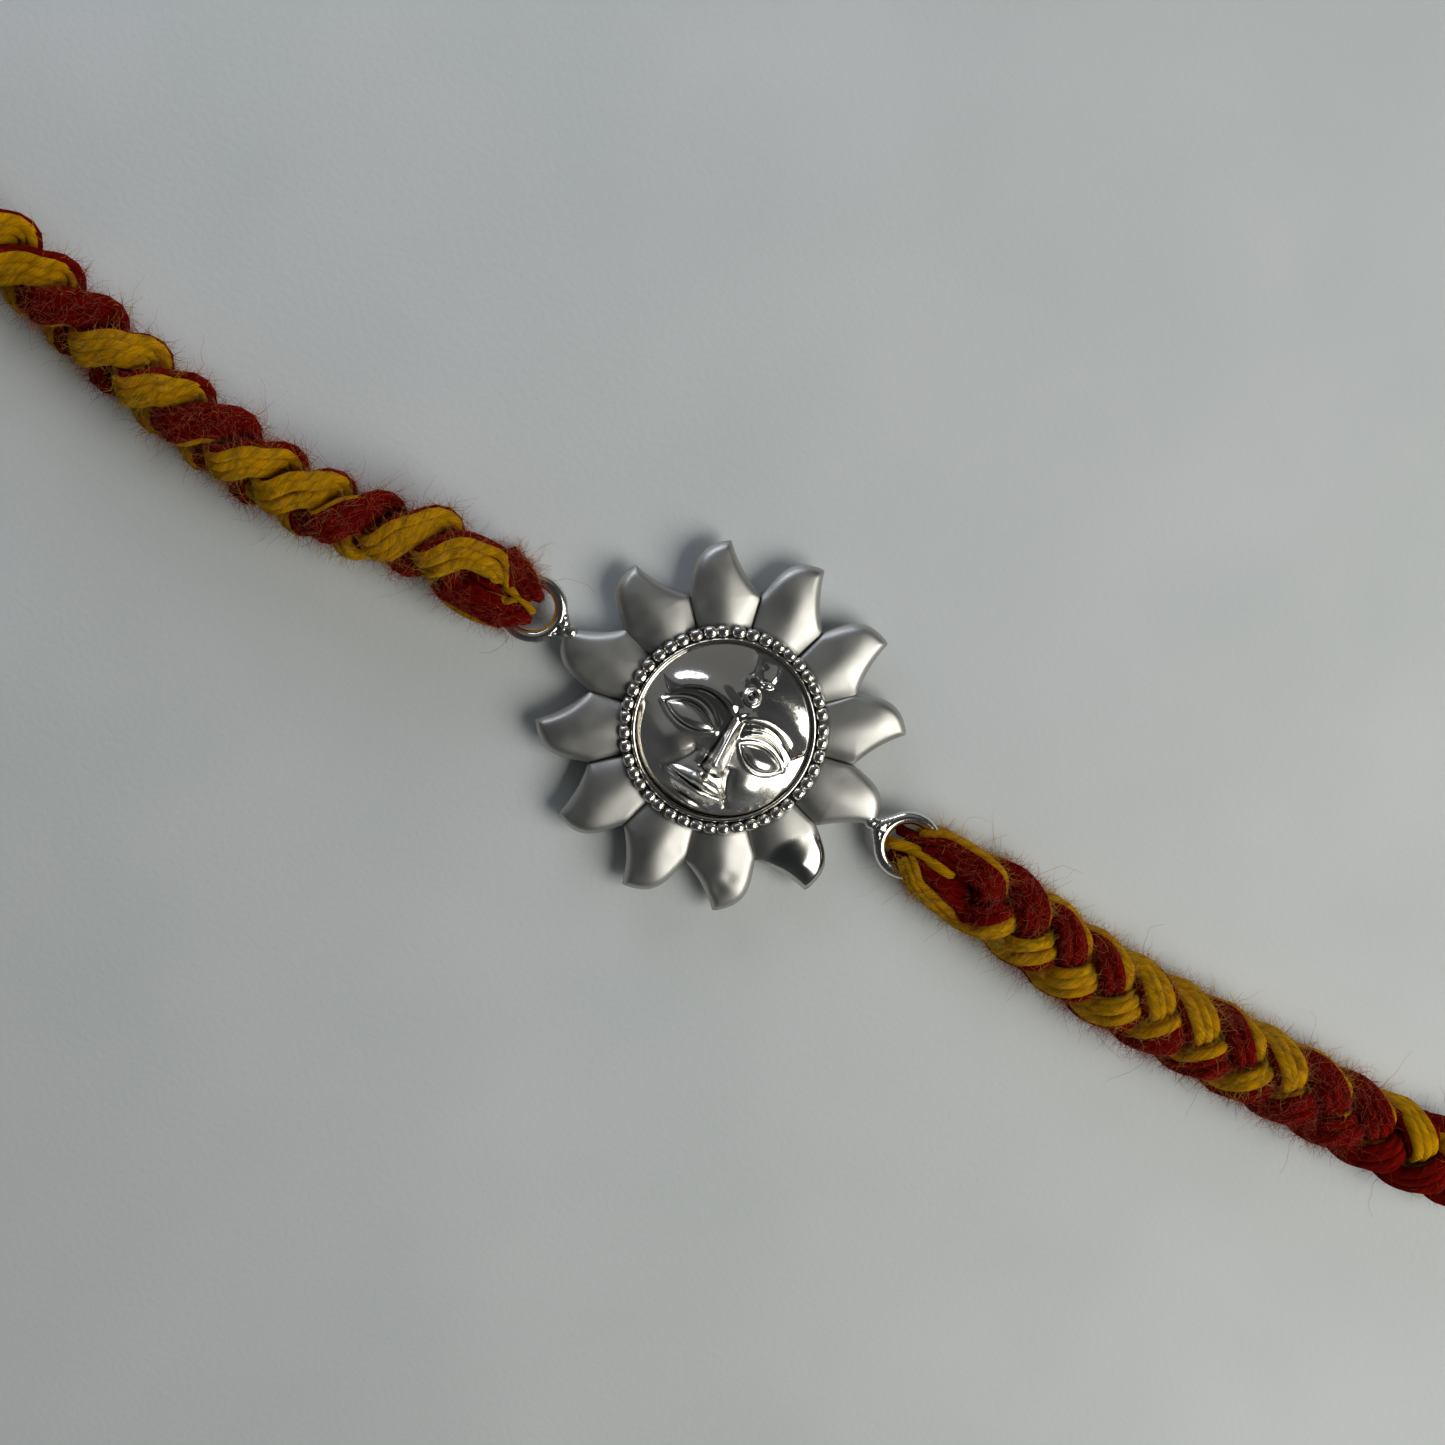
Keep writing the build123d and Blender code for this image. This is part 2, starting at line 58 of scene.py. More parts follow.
# Sun plate and rays
SUN_RADIUS = 12.5
VALLEY_RADIUS = 9.2
PLATE_THICKNESS = 0.9
HUB_RADIUS = 6.9
HUB_HEIGHT = 0.86
RAY_COUNT = 12
HALF_RAY_ANGLE = 180 / RAY_COUNT
RAY_LEAN = 1.8
RAY_GRID = (46, 32)
RAY_FOOT_RISE = 0.05
RAY_CROWN = 0.52
RAY_CROWN_REACH = 2.8
RAY_DROP = 0.24
RAY_SMOOTHINGS = 5
# How deep a ray's edge rolls down and how far in that starts: past the valley, and in the two seams
RAY_BEVEL = (0.38, 0.55)
SEAM_STEP = (0.24, 0.28)
SEAM_SLOPE = (0.26, 1.1)
ROLL_POWER = 2.1
# A ray has lost its satin: the middle of that and its reach, as shares along and across the ray
POLISHED_RAY = 11
POLISH_MIDDLE = (0.76, 0.55)
POLISH_REACH = (0.42, 0.62)
POLISHED_SWELL = 0.14
# A ray has two shallow dents
DENTED_RAY = 10
DENTS = ((10.9, 0.2), (9.9, 0.9))
DENT_DEPTH = 0.12
DENT_WIDTH = 0.40

# Bead rim and collar
BEAD_RING_RADIUS = 6.6
BEAD_DIAMETER = 0.84
BEAD_COUNT = 44
BEAD_HEIGHT = 1.35
BEAD_GROWTH = (0.94, 1.06, 0.96)
BEAD_SQUARENESS = (0.72, 0.72, 1.0)
SEAT_FOOT = 0.4
SEAT_SHOULDER = 1.02
SEAT_TOP = 1.18
COLLAR_RADIUS = 6.02
COLLAR_WIDTH = 0.26
COLLAR_FOOT = 0.8
COLLAR_HEIGHT = 1.62
RIM_STEPS = 132

# Face
FACE_RADIUS = 5.86
FACE_SEAT_HEIGHT = 1.34
FACE_RISE = 1.5
FACE_STEPS = 200
TARNISH_REACH = 0.2

# Jump rings and solder
RING_OUTER_DIAMETER = 4.7
RING_WIRE = 0.88
RING_STEPS = 72
WIRE_STEPS = 16
SOLDER_SIZE = 0.47
SOLDER_VOXEL = 0.07
RING_CENTRE_RADIUS = (RING_OUTER_DIAMETER - RING_WIRE) / 2
RING_GAP = 0.1
RING_X = SUN_RADIUS + RING_GAP + RING_OUTER_DIAMETER / 2

# Plait
PLAIT_WIDTH = 5.4
PLAIT_THICKNESS = 4.1
STITCH_PITCH = 3.6
STRAND_WIDTH = 1.7
STRAND_THICKNESS = 1.36
LOOP_WIDTH = 1.1
LOOP_THICKNESS = 0.95
LOOP_GAP = 0.08
LOOP_ANGLE = 38.0
LOOP_SECTIONS = 10
TAIL_LENGTH = 2.2
LEAD_IN = 4.2
LEAD_PULL = 0.4
LEAD_LIFT = 0.06
LEAD_SECTIONS = 14
EDGE_SHARE = 0.02
CROSSING_SHARE = 0.33
LEAN = 0.95
ACROSS = (PLAIT_WIDTH - STRAND_WIDTH) / 2 * 1.06
RISE = (PLAIT_THICKNESS - STRAND_THICKNESS) / 2 / 1.15
LOOP_RADIUS = RING_WIRE / 2 + LOOP_GAP + LOOP_THICKNESS / 2
RING_Z = LOOP_RADIUS + LOOP_THICKNESS / 2
SECTIONS_A_PERIOD = 72
CLOSING_SECTIONS = 18
STEPS_A_SPAN = 24

# Sleeve of wound thread
SLEEVE_LENGTH = 11.0
SLEEVE_WALL = 0.7
SLEEVE_STRAND = 1.3
SLEEVE_SPREAD = (SLEEVE_STRAND + LOOP_GAP) / math.sqrt(3)
SLEEVE_BORE = SLEEVE_SPREAD + SLEEVE_STRAND / 2 + 0.12
SLEEVE_CENTRE = (-2.0, 71.5)
SLEEVE_TURN = 35.0
END_GAP = 0.15
WINDING_RADIUS = 0.2
WINDING_PITCH = 0.37
WINDING_STEPS = 24

# Points that lead each arm's line from its ring to the sleeve
ARM_ROUTES = {
    "right": [(31.0, -1.1), (46.4, 0.3), (58.5, 0.7), (67.0, 3.5), (71.3, 11.5), (67.5, 22.5),
              (57.0, 37.0), (45.5, 52.5), (34.5, 67.0), (27.5, 74.6), (18.0, 79.2), (9.0, 78.2)],
    "left": [(-29.0, -2.2), (-41.2, -1.5), (-50.5, 0.5), (-60.0, 2.3), (-71.5, 3.6), (-79.0, 9.3),
             (-80.6, 18.8), (-74.6, 27.0), (-62.5, 33.7), (-45.0, 44.2), (-25.0, 56.5)],
}
END_LEAD = 3.0
# Each arm's roll in degrees at shares of its length: the left one lies on its side from the ring on
ARM_ROLLS = {
    "right": [(0.0, 0.0), (1.0, 0.0)],
    "left": [(0.0, -58.0), (0.03, -72.0), (0.30, -72.0), (0.42, 0.0), (1.0, 0.0)],
}
STRAND_PHASES = {"over": 150.0, "under": 30.0, "edge": 270.0}

# Yarns in each strand, and where the yellow ones lie round it in degrees
YARN_COUNT = 8
YELLOW_YARNS = {"right": (-45, 0, 45), "left": (-45, 0, 45, 90)}
# A yarn's radius as a share of its strand's width
YARN_SHARE = 0.27
# How far the yarns spread past the strand's own width and thickness, along the arm and in the ring
STRAND_FULLNESS = {"right": (1.62, 1.42), "left": (1.52, 1.12)}
LOOP_FULLNESS = (1.95, 1.15)
# Loose fibres on each arm, and the hairiest stretch of it
FIBRE_COUNTS = {"red": 12200, "yellow": 6500}
HAIRY_STRETCH = 64.0
HAIRY_SHARE = 0.76
# Stray hairs, standing fibres and lying ones: the share up to which each comes, lengths, steps, radius
FIBRE_KINDS = [
    (0.015, (1.6, 4.2), 8, 0.014),
    (0.55, (0.4, 1.25), 2, 0.015),
    (1.0, (0.6, 1.7), 2, 0.014),
]
STANDING_SHARE = 0.55
PAPER_CLEARANCE = 0.03

# How far each strand's yellow yarns are turned from facing up, stitch after stitch, in degrees
FACINGS = {
    ("right", "over"): [145, 10, 100, 90, 100, 140, 145],
    ("right", "under"): [145, 10, 15, 90, 10, 140, 15],
    ("right", "edge"): [-75, 145, 10, 15, 50, 145, 140],
    ("left", "over"): [0, 15, -10, 5, 20, 0],
    ("left", "under"): [180, 150, 165, 200, 150, 180],
    ("left", "edge"): [5, -15, 10, 20, -5, 10],
}
# The yarns' angle in the ring, where it isn't that of the first stitch
RING_FACINGS = {("left", "over"): -157, ("left", "under"): -157, ("left", "edge"): 150}
# Between the ring and the first stitch the left arm's yellow yarns face down
LEAD_FACING = 158
TURNING_SECTIONS = 7
# Yarns that come up through the ring: colour, three places from the ring's middle, height, reach, radius
HOLE_YARNS = {
    "right": [
        ("red", (-0.75, 0.60), (0.60, 0.85), (2.9, 0.60), 2.65, 8.0, 0.40),
        ("red", (-0.30, -1.05), (0.70, -0.78), (2.9, -0.72), 2.65, 8.0, 0.40),
        ("red", (0.20, 0.20), (1.00, 0.20), (2.9, 0.10), 2.35, 8.0, 0.42),
        ("red", (0.30, -0.35), (1.20, -0.40), (2.9, -0.60), 2.55, 8.4, 0.45),
        ("yellow", (-1.00, -0.50), (0.60, 0.10), (2.9, 0.0), 2.85, 4.3, 0.45),
    ],
    "left": [
        ("red", (-0.10, 0.90), (0.90, 1.05), (2.9, 0.95), 2.65, 7.5, 0.44),
        ("red", (0.00, -0.80), (0.80, -0.90), (2.9, -0.80), 2.70, 7.5, 0.42),
        ("red", (0.50, 0.30), (1.20, 0.20), (2.9, 0.10), 2.35, 7.5, 0.42),
        ("yellow", (-0.15, 0.22), (0.80, -0.15), (2.0, -0.36), 2.95, 2.9, 0.29),
    ],
}
HOLE_YARN_STEP = 0.28
# A long stray hair by the left ring
STRAY_HAIR = [(-15.5, 1.8, 2.5), (-14.8, 2.25, 2.4), (-14.2, 2.9, 2.2), (-13.45, 3.1, 2.0),
              (-12.75, 3.25, 1.7), (-11.9, 3.05, 1.2)]


# Small helpers

def linear(hex_colour):
    """An sRGB hex colour as the linear colour that Blender wants."""
    channels = [int(hex_colour[i:i + 2], 16) / 255 for i in (1, 3, 5)]
    return tuple(c / 12.92 if c <= 0.04045 else ((c + 0.055) / 1.055) ** 2.4 for c in channels) + (1.0,)


def blend(first, last, share):
    """Value at a share of the way from first to last."""
    return first + (last - first) * share


def smooth(share):
    """A share eased at both ends."""
    share = min(max(share, 0.0), 1.0)
    return share * share * (3 - 2 * share)


def look_up(table, share):
    """Value of a two-column table, eased from row to row."""
    for (start, first), (end, last) in zip(table, table[1:]):
        if share <= end:
            return blend(first, last, smooth((share - start) / (end - start)))
    return table[-1][1]


def add_node(tree, kind, inputs=None, stops=(), **settings):
    """A shader node with its settings, input values, colour stops and links."""
    node = tree.nodes.new(kind)
    for name, value in settings.items():
        setattr(node, name, value)
    for name, value in (inputs or {}).items():
        if isinstance(value, bpy.types.NodeSocket):
            tree.links.new(value, node.inputs[name])
        else:
            node.inputs[name].default_value = value
    for place, (position, colour) in enumerate(stops):
        elements = node.color_ramp.elements
        element = elements[place] if place < 2 else elements.new(position)
        element.position = position
        element.color = colour
    return node


def new_material(name):
    """An empty node material with its output."""
    material = bpy.data.materials.new(name)
    material.use_nodes = True
    material.node_tree.nodes.clear()
    output = material.node_tree.nodes.new("ShaderNodeOutputMaterial")
    return material, material.node_tree, output


def finish_piece(mesh, name, material, nodes, sharp=None):
    """Makes a mesh a piece of the object that stands for some CAD nodes."""
    mesh.name = name
    mesh.materials.clear()
    mesh.materials.append(material)
    mesh.polygons.foreach_set("use_smooth", [True] * len(mesh.polygons))
    if sharp:
        mesh.set_sharp_from_angle(angle=math.radians(sharp))
    piece = bpy.data.objects.new(name, mesh)
    bpy.context.scene.collection.objects.link(piece)
    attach(piece, "root")
    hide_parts(*nodes)


def bmesh_piece(bm, place, name, material, nodes, sharp=None):
    """Makes a bmesh in millimetres a piece of the object."""
    bmesh.ops.transform(bm, matrix=place, verts=bm.verts)
    mesh = bpy.data.meshes.new(name)
    bm.to_mesh(mesh)
    bm.free()
    finish_piece(mesh, name, material, nodes, sharp)


def thread_mesh(paths, sides):
    """One mesh of threads that follow paths, each with its points and the radius at each."""
    profile = bpy.data.curves.new("profile", "CURVE")
    outline = profile.splines.new("POLY")
    outline.points.add(sides - 1)
    outline.use_cyclic_u = True
    for step, point in enumerate(outline.points):
        # drawn clockwise, so that the faces of the thread point outwards
        angle = -2 * math.pi * step / sides
        point.co = (math.cos(angle), math.sin(angle), 0, 1)
    section = bpy.data.objects.new("profile", profile)
    curve = bpy.data.curves.new("thread", "CURVE")
    curve.dimensions = "3D"
    curve.bevel_mode = "OBJECT"
    curve.bevel_object = section
    curve.use_fill_caps = True
    for points, radii in paths:
        spline = curve.splines.new("POLY")
        spline.points.add(len(points) - 1)
        flat = np.ones((len(points), 4))
        flat[:, :3] = points
        spline.points.foreach_set("co", flat.ravel())
        spline.points.foreach_set("radius", radii)
        spline.use_smooth = True
    holder = bpy.data.objects.new("thread", curve)
    bpy.context.scene.collection.objects.link(section)
    bpy.context.scene.collection.objects.link(holder)
    graph = bpy.context.evaluated_depsgraph_get()
    mesh = bpy.data.meshes.new_from_object(holder.evaluated_get(graph))
    bpy.data.objects.remove(holder)
    bpy.data.objects.remove(section)
    bpy.data.curves.remove(curve)
    bpy.data.curves.remove(profile)
    layer = mesh.uv_layers["UVMap"].uv
    values = np.zeros(len(layer) * 2)
    layer.foreach_get("vector", values)
    values = values.reshape(-1, 2)
    # the map's first number becomes the length along each thread in millimetres
    start = 0
    for points, _ in paths:
        corners = (len(points) - 1) * sides * 4 + 2 * sides
        values[start:start + corners, 0] *= np.linalg.norm(np.diff(points, axis=0), axis=1).sum()
        start += corners
    layer.foreach_set("vector", values.ravel())
    mesh.transform(PLAIT_PLACE)
    return mesh


# Silver

def polished_silver():
    """Cast silver, polished by hand: clear dark and bright reflections, tarnish left in the hollows, and
    painted shade on the bead seat and on the beads below their tops.
    """
    material, tree, output = new_material("polished_cast_silver")
    place = add_node(tree, "ShaderNodeTexCoord").outputs["Object"]
    hollow = add_node(tree, "ShaderNodeAttribute", attribute_name="hollow").outputs["Fac"]
    # polishing waves about 1 mm long
    waves = add_node(tree, "ShaderNodeTexNoise", {"Vector": place, "Scale": 900.0, "Detail": 2.0})
    # fine scratches and pits of about 0.1 mm
    pits = add_node(tree, "ShaderNodeTexNoise", {"Vector": place, "Scale": 9000.0, "Detail": 3.0})
    # the colour darkens with the hollow value: tarnish in the face's hollows, and painted shade on the bead
    # seat and below the beads' tops
    colour = add_node(tree, "ShaderNodeValToRGB", {"Fac": hollow},
                      [(0.15, linear("#ebe8e1")), (1.0, linear("#4c4a44"))])
    worn = add_node(tree, "ShaderNodeAttribute", attribute_name="worn").outputs["Fac"]
    bright = add_node(tree, "ShaderNodeMapRange",
                      {"Value": pits.outputs["Fac"], "From Min": 0.3, "From Max": 0.75,
                       "To Min": 0.08, "To Max": 0.16})
    # the lower face and the beads have lost some of their polish
    rough = add_node(tree, "ShaderNodeMix", {0: worn, 2: bright.outputs["Result"], 3: 0.30})
    wavy = add_node(tree, "ShaderNodeBump",
                    {"Height": waves.outputs["Fac"], "Strength": 0.3, "Distance": 0.00008})
    pitted = add_node(tree, "ShaderNodeBump",
                      {"Height": pits.outputs["Fac"], "Strength": 0.25, "Distance": 0.000008,
                       "Normal": wavy.outputs["Normal"]})
    shader = add_node(tree, "ShaderNodeBsdfPrincipled",
                      {"Base Color": colour.outputs["Color"], "Metallic": 1.0,
                       "Roughness": rough.outputs[0], "Normal": pitted.outputs["Normal"]})
    tree.links.new(shader.outputs["BSDF"], output.inputs["Surface"])
    return material


def satin_silver():
    """Cast silver with a brushed satin skin: soft grey glow with a fine sparkling grain."""
    material, tree, output = new_material("satin_cast_silver")
    place = add_node(tree, "ShaderNodeTexCoord").outputs["Object"]
    hollow = add_node(tree, "ShaderNodeAttribute", attribute_name="hollow").outputs["Fac"]
    polish = add_node(tree, "ShaderNodeAttribute", attribute_name="polish").outputs["Fac"]
    # grain of 0.06 mm, drawn a little coarser than the real one so that it shows
    grain = add_node(tree, "ShaderNodeTexNoise", {"Vector": place, "Scale": 17000.0, "Detail": 1.0})
    # the satin is duller in patches of about 2 mm
    cloud = add_node(tree, "ShaderNodeTexNoise", {"Vector": place, "Scale": 500.0, "Detail": 2.0})
    # darker in the seams between the rays, and painted shade where the rays meet the beads
    colour = add_node(tree, "ShaderNodeValToRGB", {"Fac": hollow},
                      [(0.1, linear("#bdbcb7")), (1.0, linear("#4a4843"))])
    satin = add_node(tree, "ShaderNodeMapRange",
                     {"Value": cloud.outputs["Fac"], "From Min": 0.3, "From Max": 0.7,
                      "To Min": 0.38, "To Max": 0.48})
    rough = add_node(tree, "ShaderNodeMix", {0: polish, 2: satin.outputs["Result"], 3: 0.13})
    height = add_node(tree, "ShaderNodeMath", {0: grain.outputs["Fac"], 1: polish}, operation="SUBTRACT",
                      use_clamp=True)
    grainy = add_node(tree, "ShaderNodeBump",
                      {"Height": height.outputs["Value"], "Strength": 0.6, "Distance": 0.000012})
    shader = add_node(tree, "ShaderNodeBsdfPrincipled",
                      {"Base Color": colour.outputs["Color"], "Metallic": 1.0,
                       "Roughness": rough.outputs[0], "Normal": grainy.outputs["Normal"]})
    tree.links.new(shader.outputs["BSDF"], output.inputs["Surface"])
    return material


def drawn_silver():
    """Drawn silver wire, burnished: long clear highlights, a little marked by handling."""
    material, tree, output = new_material("drawn_silver_wire")
    place = add_node(tree, "ShaderNodeTexCoord").outputs["Object"]
    # handling marks of about 0.4 mm
    marks = add_node(tree, "ShaderNodeTexNoise", {"Vector": place, "Scale": 2500.0, "Detail": 3.0})
    rough = add_node(tree, "ShaderNodeMapRange",
                     {"Value": marks.outputs["Fac"], "From Min": 0.3, "From Max": 0.7,
                      "To Min": 0.10, "To Max": 0.20})
    worn = add_node(tree, "ShaderNodeBump",
                    {"Height": marks.outputs["Fac"], "Strength": 0.3, "Distance": 0.00003})
    shader = add_node(tree, "ShaderNodeBsdfPrincipled",
                      {"Base Color": linear("#ece9e2"), "Metallic": 1.0,
                       "Roughness": rough.outputs["Result"], "Normal": worn.outputs["Normal"]})
    tree.links.new(shader.outputs["BSDF"], output.inputs["Surface"])
    return material


def solder_silver():
    """Silver solder as it froze: lumpy, pitted and a little duller than the wire."""
    material, tree, output = new_material("flowed_silver_solder")
    place = add_node(tree, "ShaderNodeTexCoord").outputs["Object"]
    # frozen lumps of about 0.25 mm
    lumps = add_node(tree, "ShaderNodeTexNoise", {"Vector": place, "Scale": 4000.0, "Detail": 4.0})
    colour = add_node(tree, "ShaderNodeValToRGB", {"Fac": lumps.outputs["Fac"]},
                      [(0.34, linear("#a3a197")), (0.46, linear("#e8e5dd"))])
    bumpy = add_node(tree, "ShaderNodeBump",
                     {"Height": lumps.outputs["Fac"], "Strength": 0.6, "Distance": 0.00006})
    shader = add_node(tree, "ShaderNodeBsdfPrincipled",
                      {"Base Color": colour.outputs["Color"], "Metallic": 1.0, "Roughness": 0.17,
                       "Normal": bumpy.outputs["Normal"]})
    tree.links.new(shader.outputs["BSDF"], output.inputs["Surface"])
    return material


# Rays and bead rim

def polar(radius, angle):
    """Point at a radius and an angle in degrees."""
    return Vector((radius * math.cos(math.radians(angle)), radius * math.sin(math.radians(angle))))


def bezier(a, b, c, d, t):
    """Point at a share of a curve from a to d that heads for b and comes from c."""
    u = 1 - t
    return a * u**3 + b * (3 * u * u * t) + c * (3 * u * t * t) + d * t**3


RAY_LENGTH = SUN_RADIUS - VALLEY_RADIUS
RAY_TIP = polar(SUN_RADIUS, 0)
RAY_LEFT = polar(VALLEY_RADIUS, HALF_RAY_ANGLE + RAY_LEAN)
RAY_RIGHT = polar(VALLEY_RADIUS, RAY_LEAN - HALF_RAY_ANGLE)
FOOT_LEFT = polar(BEAD_RING_RADIUS, HALF_RAY_ANGLE + RAY_LEAN)
FOOT_RIGHT = polar(BEAD_RING_RADIUS, RAY_LEAN - HALF_RAY_ANGLE)
# Share of a ray's grid that lies between the beads and the valley
FOOT_SHARE = 0.38


def ray_left_side(share):
    """Point on the bulging side of the ray along +X, from its foot to its tip."""
    if share < FOOT_SHARE:
        return FOOT_LEFT.lerp(RAY_LEFT, share / FOOT_SHARE)
    shoulder = RAY_LEFT + Vector((0.46 * RAY_LENGTH, -0.07 * RAY_LENGTH))
    brow = RAY_TIP + Vector((-0.10 * RAY_LENGTH, 0.78 * RAY_LENGTH))
    return bezier(RAY_LEFT, shoulder, brow, RAY_TIP, (share - FOOT_SHARE) / (1 - FOOT_SHARE))


def ray_right_side(share):
    """Point on the hollow side of the ray along +X, from its foot to its tip."""
    if share < FOOT_SHARE:
        return FOOT_RIGHT.lerp(RAY_RIGHT, share / FOOT_SHARE)
    hollow = (RAY_TIP + RAY_RIGHT) / 2 + Vector((-0.05 * RAY_LENGTH, 0.09 * RAY_LENGTH)) * 1.33
    third = RAY_RIGHT.lerp(hollow, 0.68)
    other = RAY_TIP.lerp(hollow, 0.68)
    return bezier(RAY_RIGHT, third, other, RAY_TIP, (share - FOOT_SHARE) / (1 - FOOT_SHARE))


def line_distance(places, side, start, end):
    """How far each place lies from a stretch of the ray's side."""
    steps = 30
    outline = np.array([side(blend(start, end, i / steps)) for i in range(steps + 1)])
    nearest = np.full(len(places), np.inf)
    for (ax, ay), (bx, by) in zip(outline, outline[1:]):
        dx, dy = bx - ax, by - ay
        t = np.clip(((places[:, 0] - ax) * dx + (places[:, 1] - ay) * dy) / (dx * dx + dy * dy), 0, 1)
        nearest = np.minimum(nearest, np.hypot(places[:, 0] - ax - dx * t, places[:, 1] - ay - dy * t))
    return nearest


def ray_top(places):
    """How much the ray's top swells at each place, and how much its rolled edges drop it."""
    pillow = np.ones(len(places))
    fall = np.zeros(len(places))
    for side, seam in ((ray_left_side, SEAM_STEP), (ray_right_side, SEAM_SLOPE)):
        for start, end, (drop, width) in ((0.0, FOOT_SHARE, seam), (FOOT_SHARE, 1.0, RAY_BEVEL)):
            distance = line_distance(places, side, start, end)
            pillow *= 1 - (1 - np.minimum(distance / RAY_CROWN_REACH, 1.0)) ** 2
            fall += (drop * (1 - np.minimum(distance / width, 1.0)) ** ROLL_POWER) ** 2
    return pillow, np.sqrt(fall)


class Ray:
    """What sets one ray apart from its neighbours."""

    def __init__(self, number, chance):
        self.number = number
        self.turn = number * 360 / RAY_COUNT + chance.uniform(-0.7, 0.7)
        self.stretch = chance.uniform(0.945, 1.0)
        self.crown = RAY_CROWN * chance.uniform(0.9, 1.1)
        self.lean = chance.uniform(-0.05, 0.05)


def ray_height(ray, along, across, place, pillow, fall):
    """Height of a ray's top at one place."""
    # a ray falls away towards its tip, and a little towards the beads
    foot_fall = 0.06 * smooth((9.6 - place.x) / 3.2)
    height = PLATE_THICKNESS + RAY_FOOT_RISE + ray.crown * pillow - fall - foot_fall
    height -= RAY_DROP * (max(place.x - BEAD_RING_RADIUS, 0) / (SUN_RADIUS - BEAD_RING_RADIUS)) ** 2
    height += ray.lean * (2 * across - 1)
    if ray.number == POLISHED_RAY:
        ridge_line = math.exp(-((across - 0.40) / 0.22) ** 2)
        height += POLISHED_SWELL * ridge_line * smooth((along - 0.45) / 0.25) * pillow
    if ray.number == DENTED_RAY:
        for dent_x, dent_y in DENTS:
            reach = math.hypot(place.x - dent_x, place.y - dent_y)
            height -= DENT_DEPTH * math.exp(-(reach / DENT_WIDTH) ** 2)
    return height


def ray_polish(ray, along, across):
    """How much of the satin has been rubbed bright at one place of a ray."""
    if ray.number != POLISHED_RAY:
        return 0.0
    reach = math.hypot((along - POLISH_MIDDLE[0]) / POLISH_REACH[0],
                       (across - POLISH_MIDDLE[1]) / POLISH_REACH[1])
    return smooth((1.15 - reach) / 0.30)


def ray_seams_and_painted_shade(place, across):
    """How dark a ray is in the seams beside it, and the painted shade where it meets the beads."""
    seam = place.length * math.radians(HALF_RAY_ANGLE) * 2 * min(across, 1 - across)
    beside = 0.7 * math.exp(-(seam / 0.10) ** 2) * smooth((9.5 - place.length) / 0.5)
    # painted shade on the ray's top where it meets the bead seat
    return max(beside, 0.6 * smooth((7.25 - place.length) / 0.25))


def ray_mesh(bm, ray):
    """One curled ray with a puffed top, its edge rolled down to the back."""
    columns, rows = RAY_GRID
    points = bmesh.ops.create_grid(bm, x_segments=columns, y_segments=rows, size=1.0)["verts"]
    polish = bm.verts.layers.float["polish"]
    hollow = bm.verts.layers.float["hollow"]
    shares = [((v.co.x + 1) / 2, 0.5 - 0.5 * math.cos(math.pi * (v.co.y + 1) / 2)) for v in points]
    places = [ray_right_side(u).lerp(ray_left_side(u), v) for u, v in shares]
    pillows, falls = ray_top(np.array(places))
    for point, (along, across), place, pillow, fall in zip(points, shares, places, pillows, falls):
        # only the part past the valley is shorter on some rays
        beyond = max(place.x - VALLEY_RADIUS, 0)
        height = ray_height(ray, along, across, place, pillow, fall)
        point.co = Vector((place.x - beyond * (1 - ray.stretch), place.y, height))
        point[polish] = ray_polish(ray, along, across)
        point[hollow] = ray_seams_and_painted_shade(place, across)
    inner = [v for v in points if not v.is_boundary]
    for _ in range(RAY_SMOOTHINGS):
        bmesh.ops.smooth_vert(bm, verts=inner, factor=0.5, use_axis_z=True)
    edges = [e for e in bm.edges if e.is_boundary and e.verts[0] in set(points)]
    wall = bmesh.ops.extrude_edge_only(bm, edges=edges)["geom"]
    low = [v for v in wall if isinstance(v, bmesh.types.BMVert)]
    for point in low:
        point.co.z = 0.0
    rim = [e for e in wall if isinstance(e, bmesh.types.BMEdge) and e.is_boundary]
    bmesh.ops.contextual_create(bm, geom=rim)
    bmesh.ops.rotate(bm, matrix=Matrix.Rotation(math.radians(ray.turn), 3, "Z"), verts=points + low)


def sun_rays(material):
    """The cast plate: twelve rays round a hub."""
    bm = bmesh.new()
    bm.verts.layers.float.new("polish")
    bm.verts.layers.float.new("hollow")
    chance = random.Random(7)
    for number in range(RAY_COUNT):
        ray_mesh(bm, Ray(number, chance))
    bmesh.ops.remove_doubles(bm, verts=bm.verts, dist=0.002)
    bmesh.ops.create_cone(bm, cap_ends=True, segments=96, radius1=HUB_RADIUS, radius2=HUB_RADIUS,
                          depth=HUB_HEIGHT, matrix=Matrix.Translation((0, 0, HUB_HEIGHT / 2)))
    bmesh.ops.recalc_face_normals(bm, faces=bm.faces)
    bmesh_piece(bm, SUN_PLACE, "sun_rays", material, ["sun_pendant"], sharp=50)


def ring_by_spin(bm, profile, steps, centre=Vector((0, 0, 0))):
    """A full turn of a profile, given as radius and height, round an upright line."""
    points = [bm.verts.new((centre.x + radius, 0, centre.z + height)) for radius, height in profile]
    edges = [bm.edges.new(pair) for pair in zip(points, points[1:] + points[:1])]
    bmesh.ops.spin(bm, geom=points + edges, cent=centre, axis=(0, 0, 1), angle=2 * math.pi,
                   steps=steps, use_merge=True, use_duplicate=False)


def bead_seat(bm):
    """The ring that the beads sit on, its upper edges cut off."""
    half = BEAD_DIAMETER * 0.46
    top_half = half * 0.8
    ring_by_spin(bm, [(BEAD_RING_RADIUS - half, SEAT_FOOT), (BEAD_RING_RADIUS + half, SEAT_FOOT),
                      (BEAD_RING_RADIUS + half, SEAT_SHOULDER), (BEAD_RING_RADIUS + top_half, SEAT_TOP),
                      (BEAD_RING_RADIUS - top_half, SEAT_TOP), (BEAD_RING_RADIUS - half, SEAT_SHOULDER)],
                 RIM_STEPS)


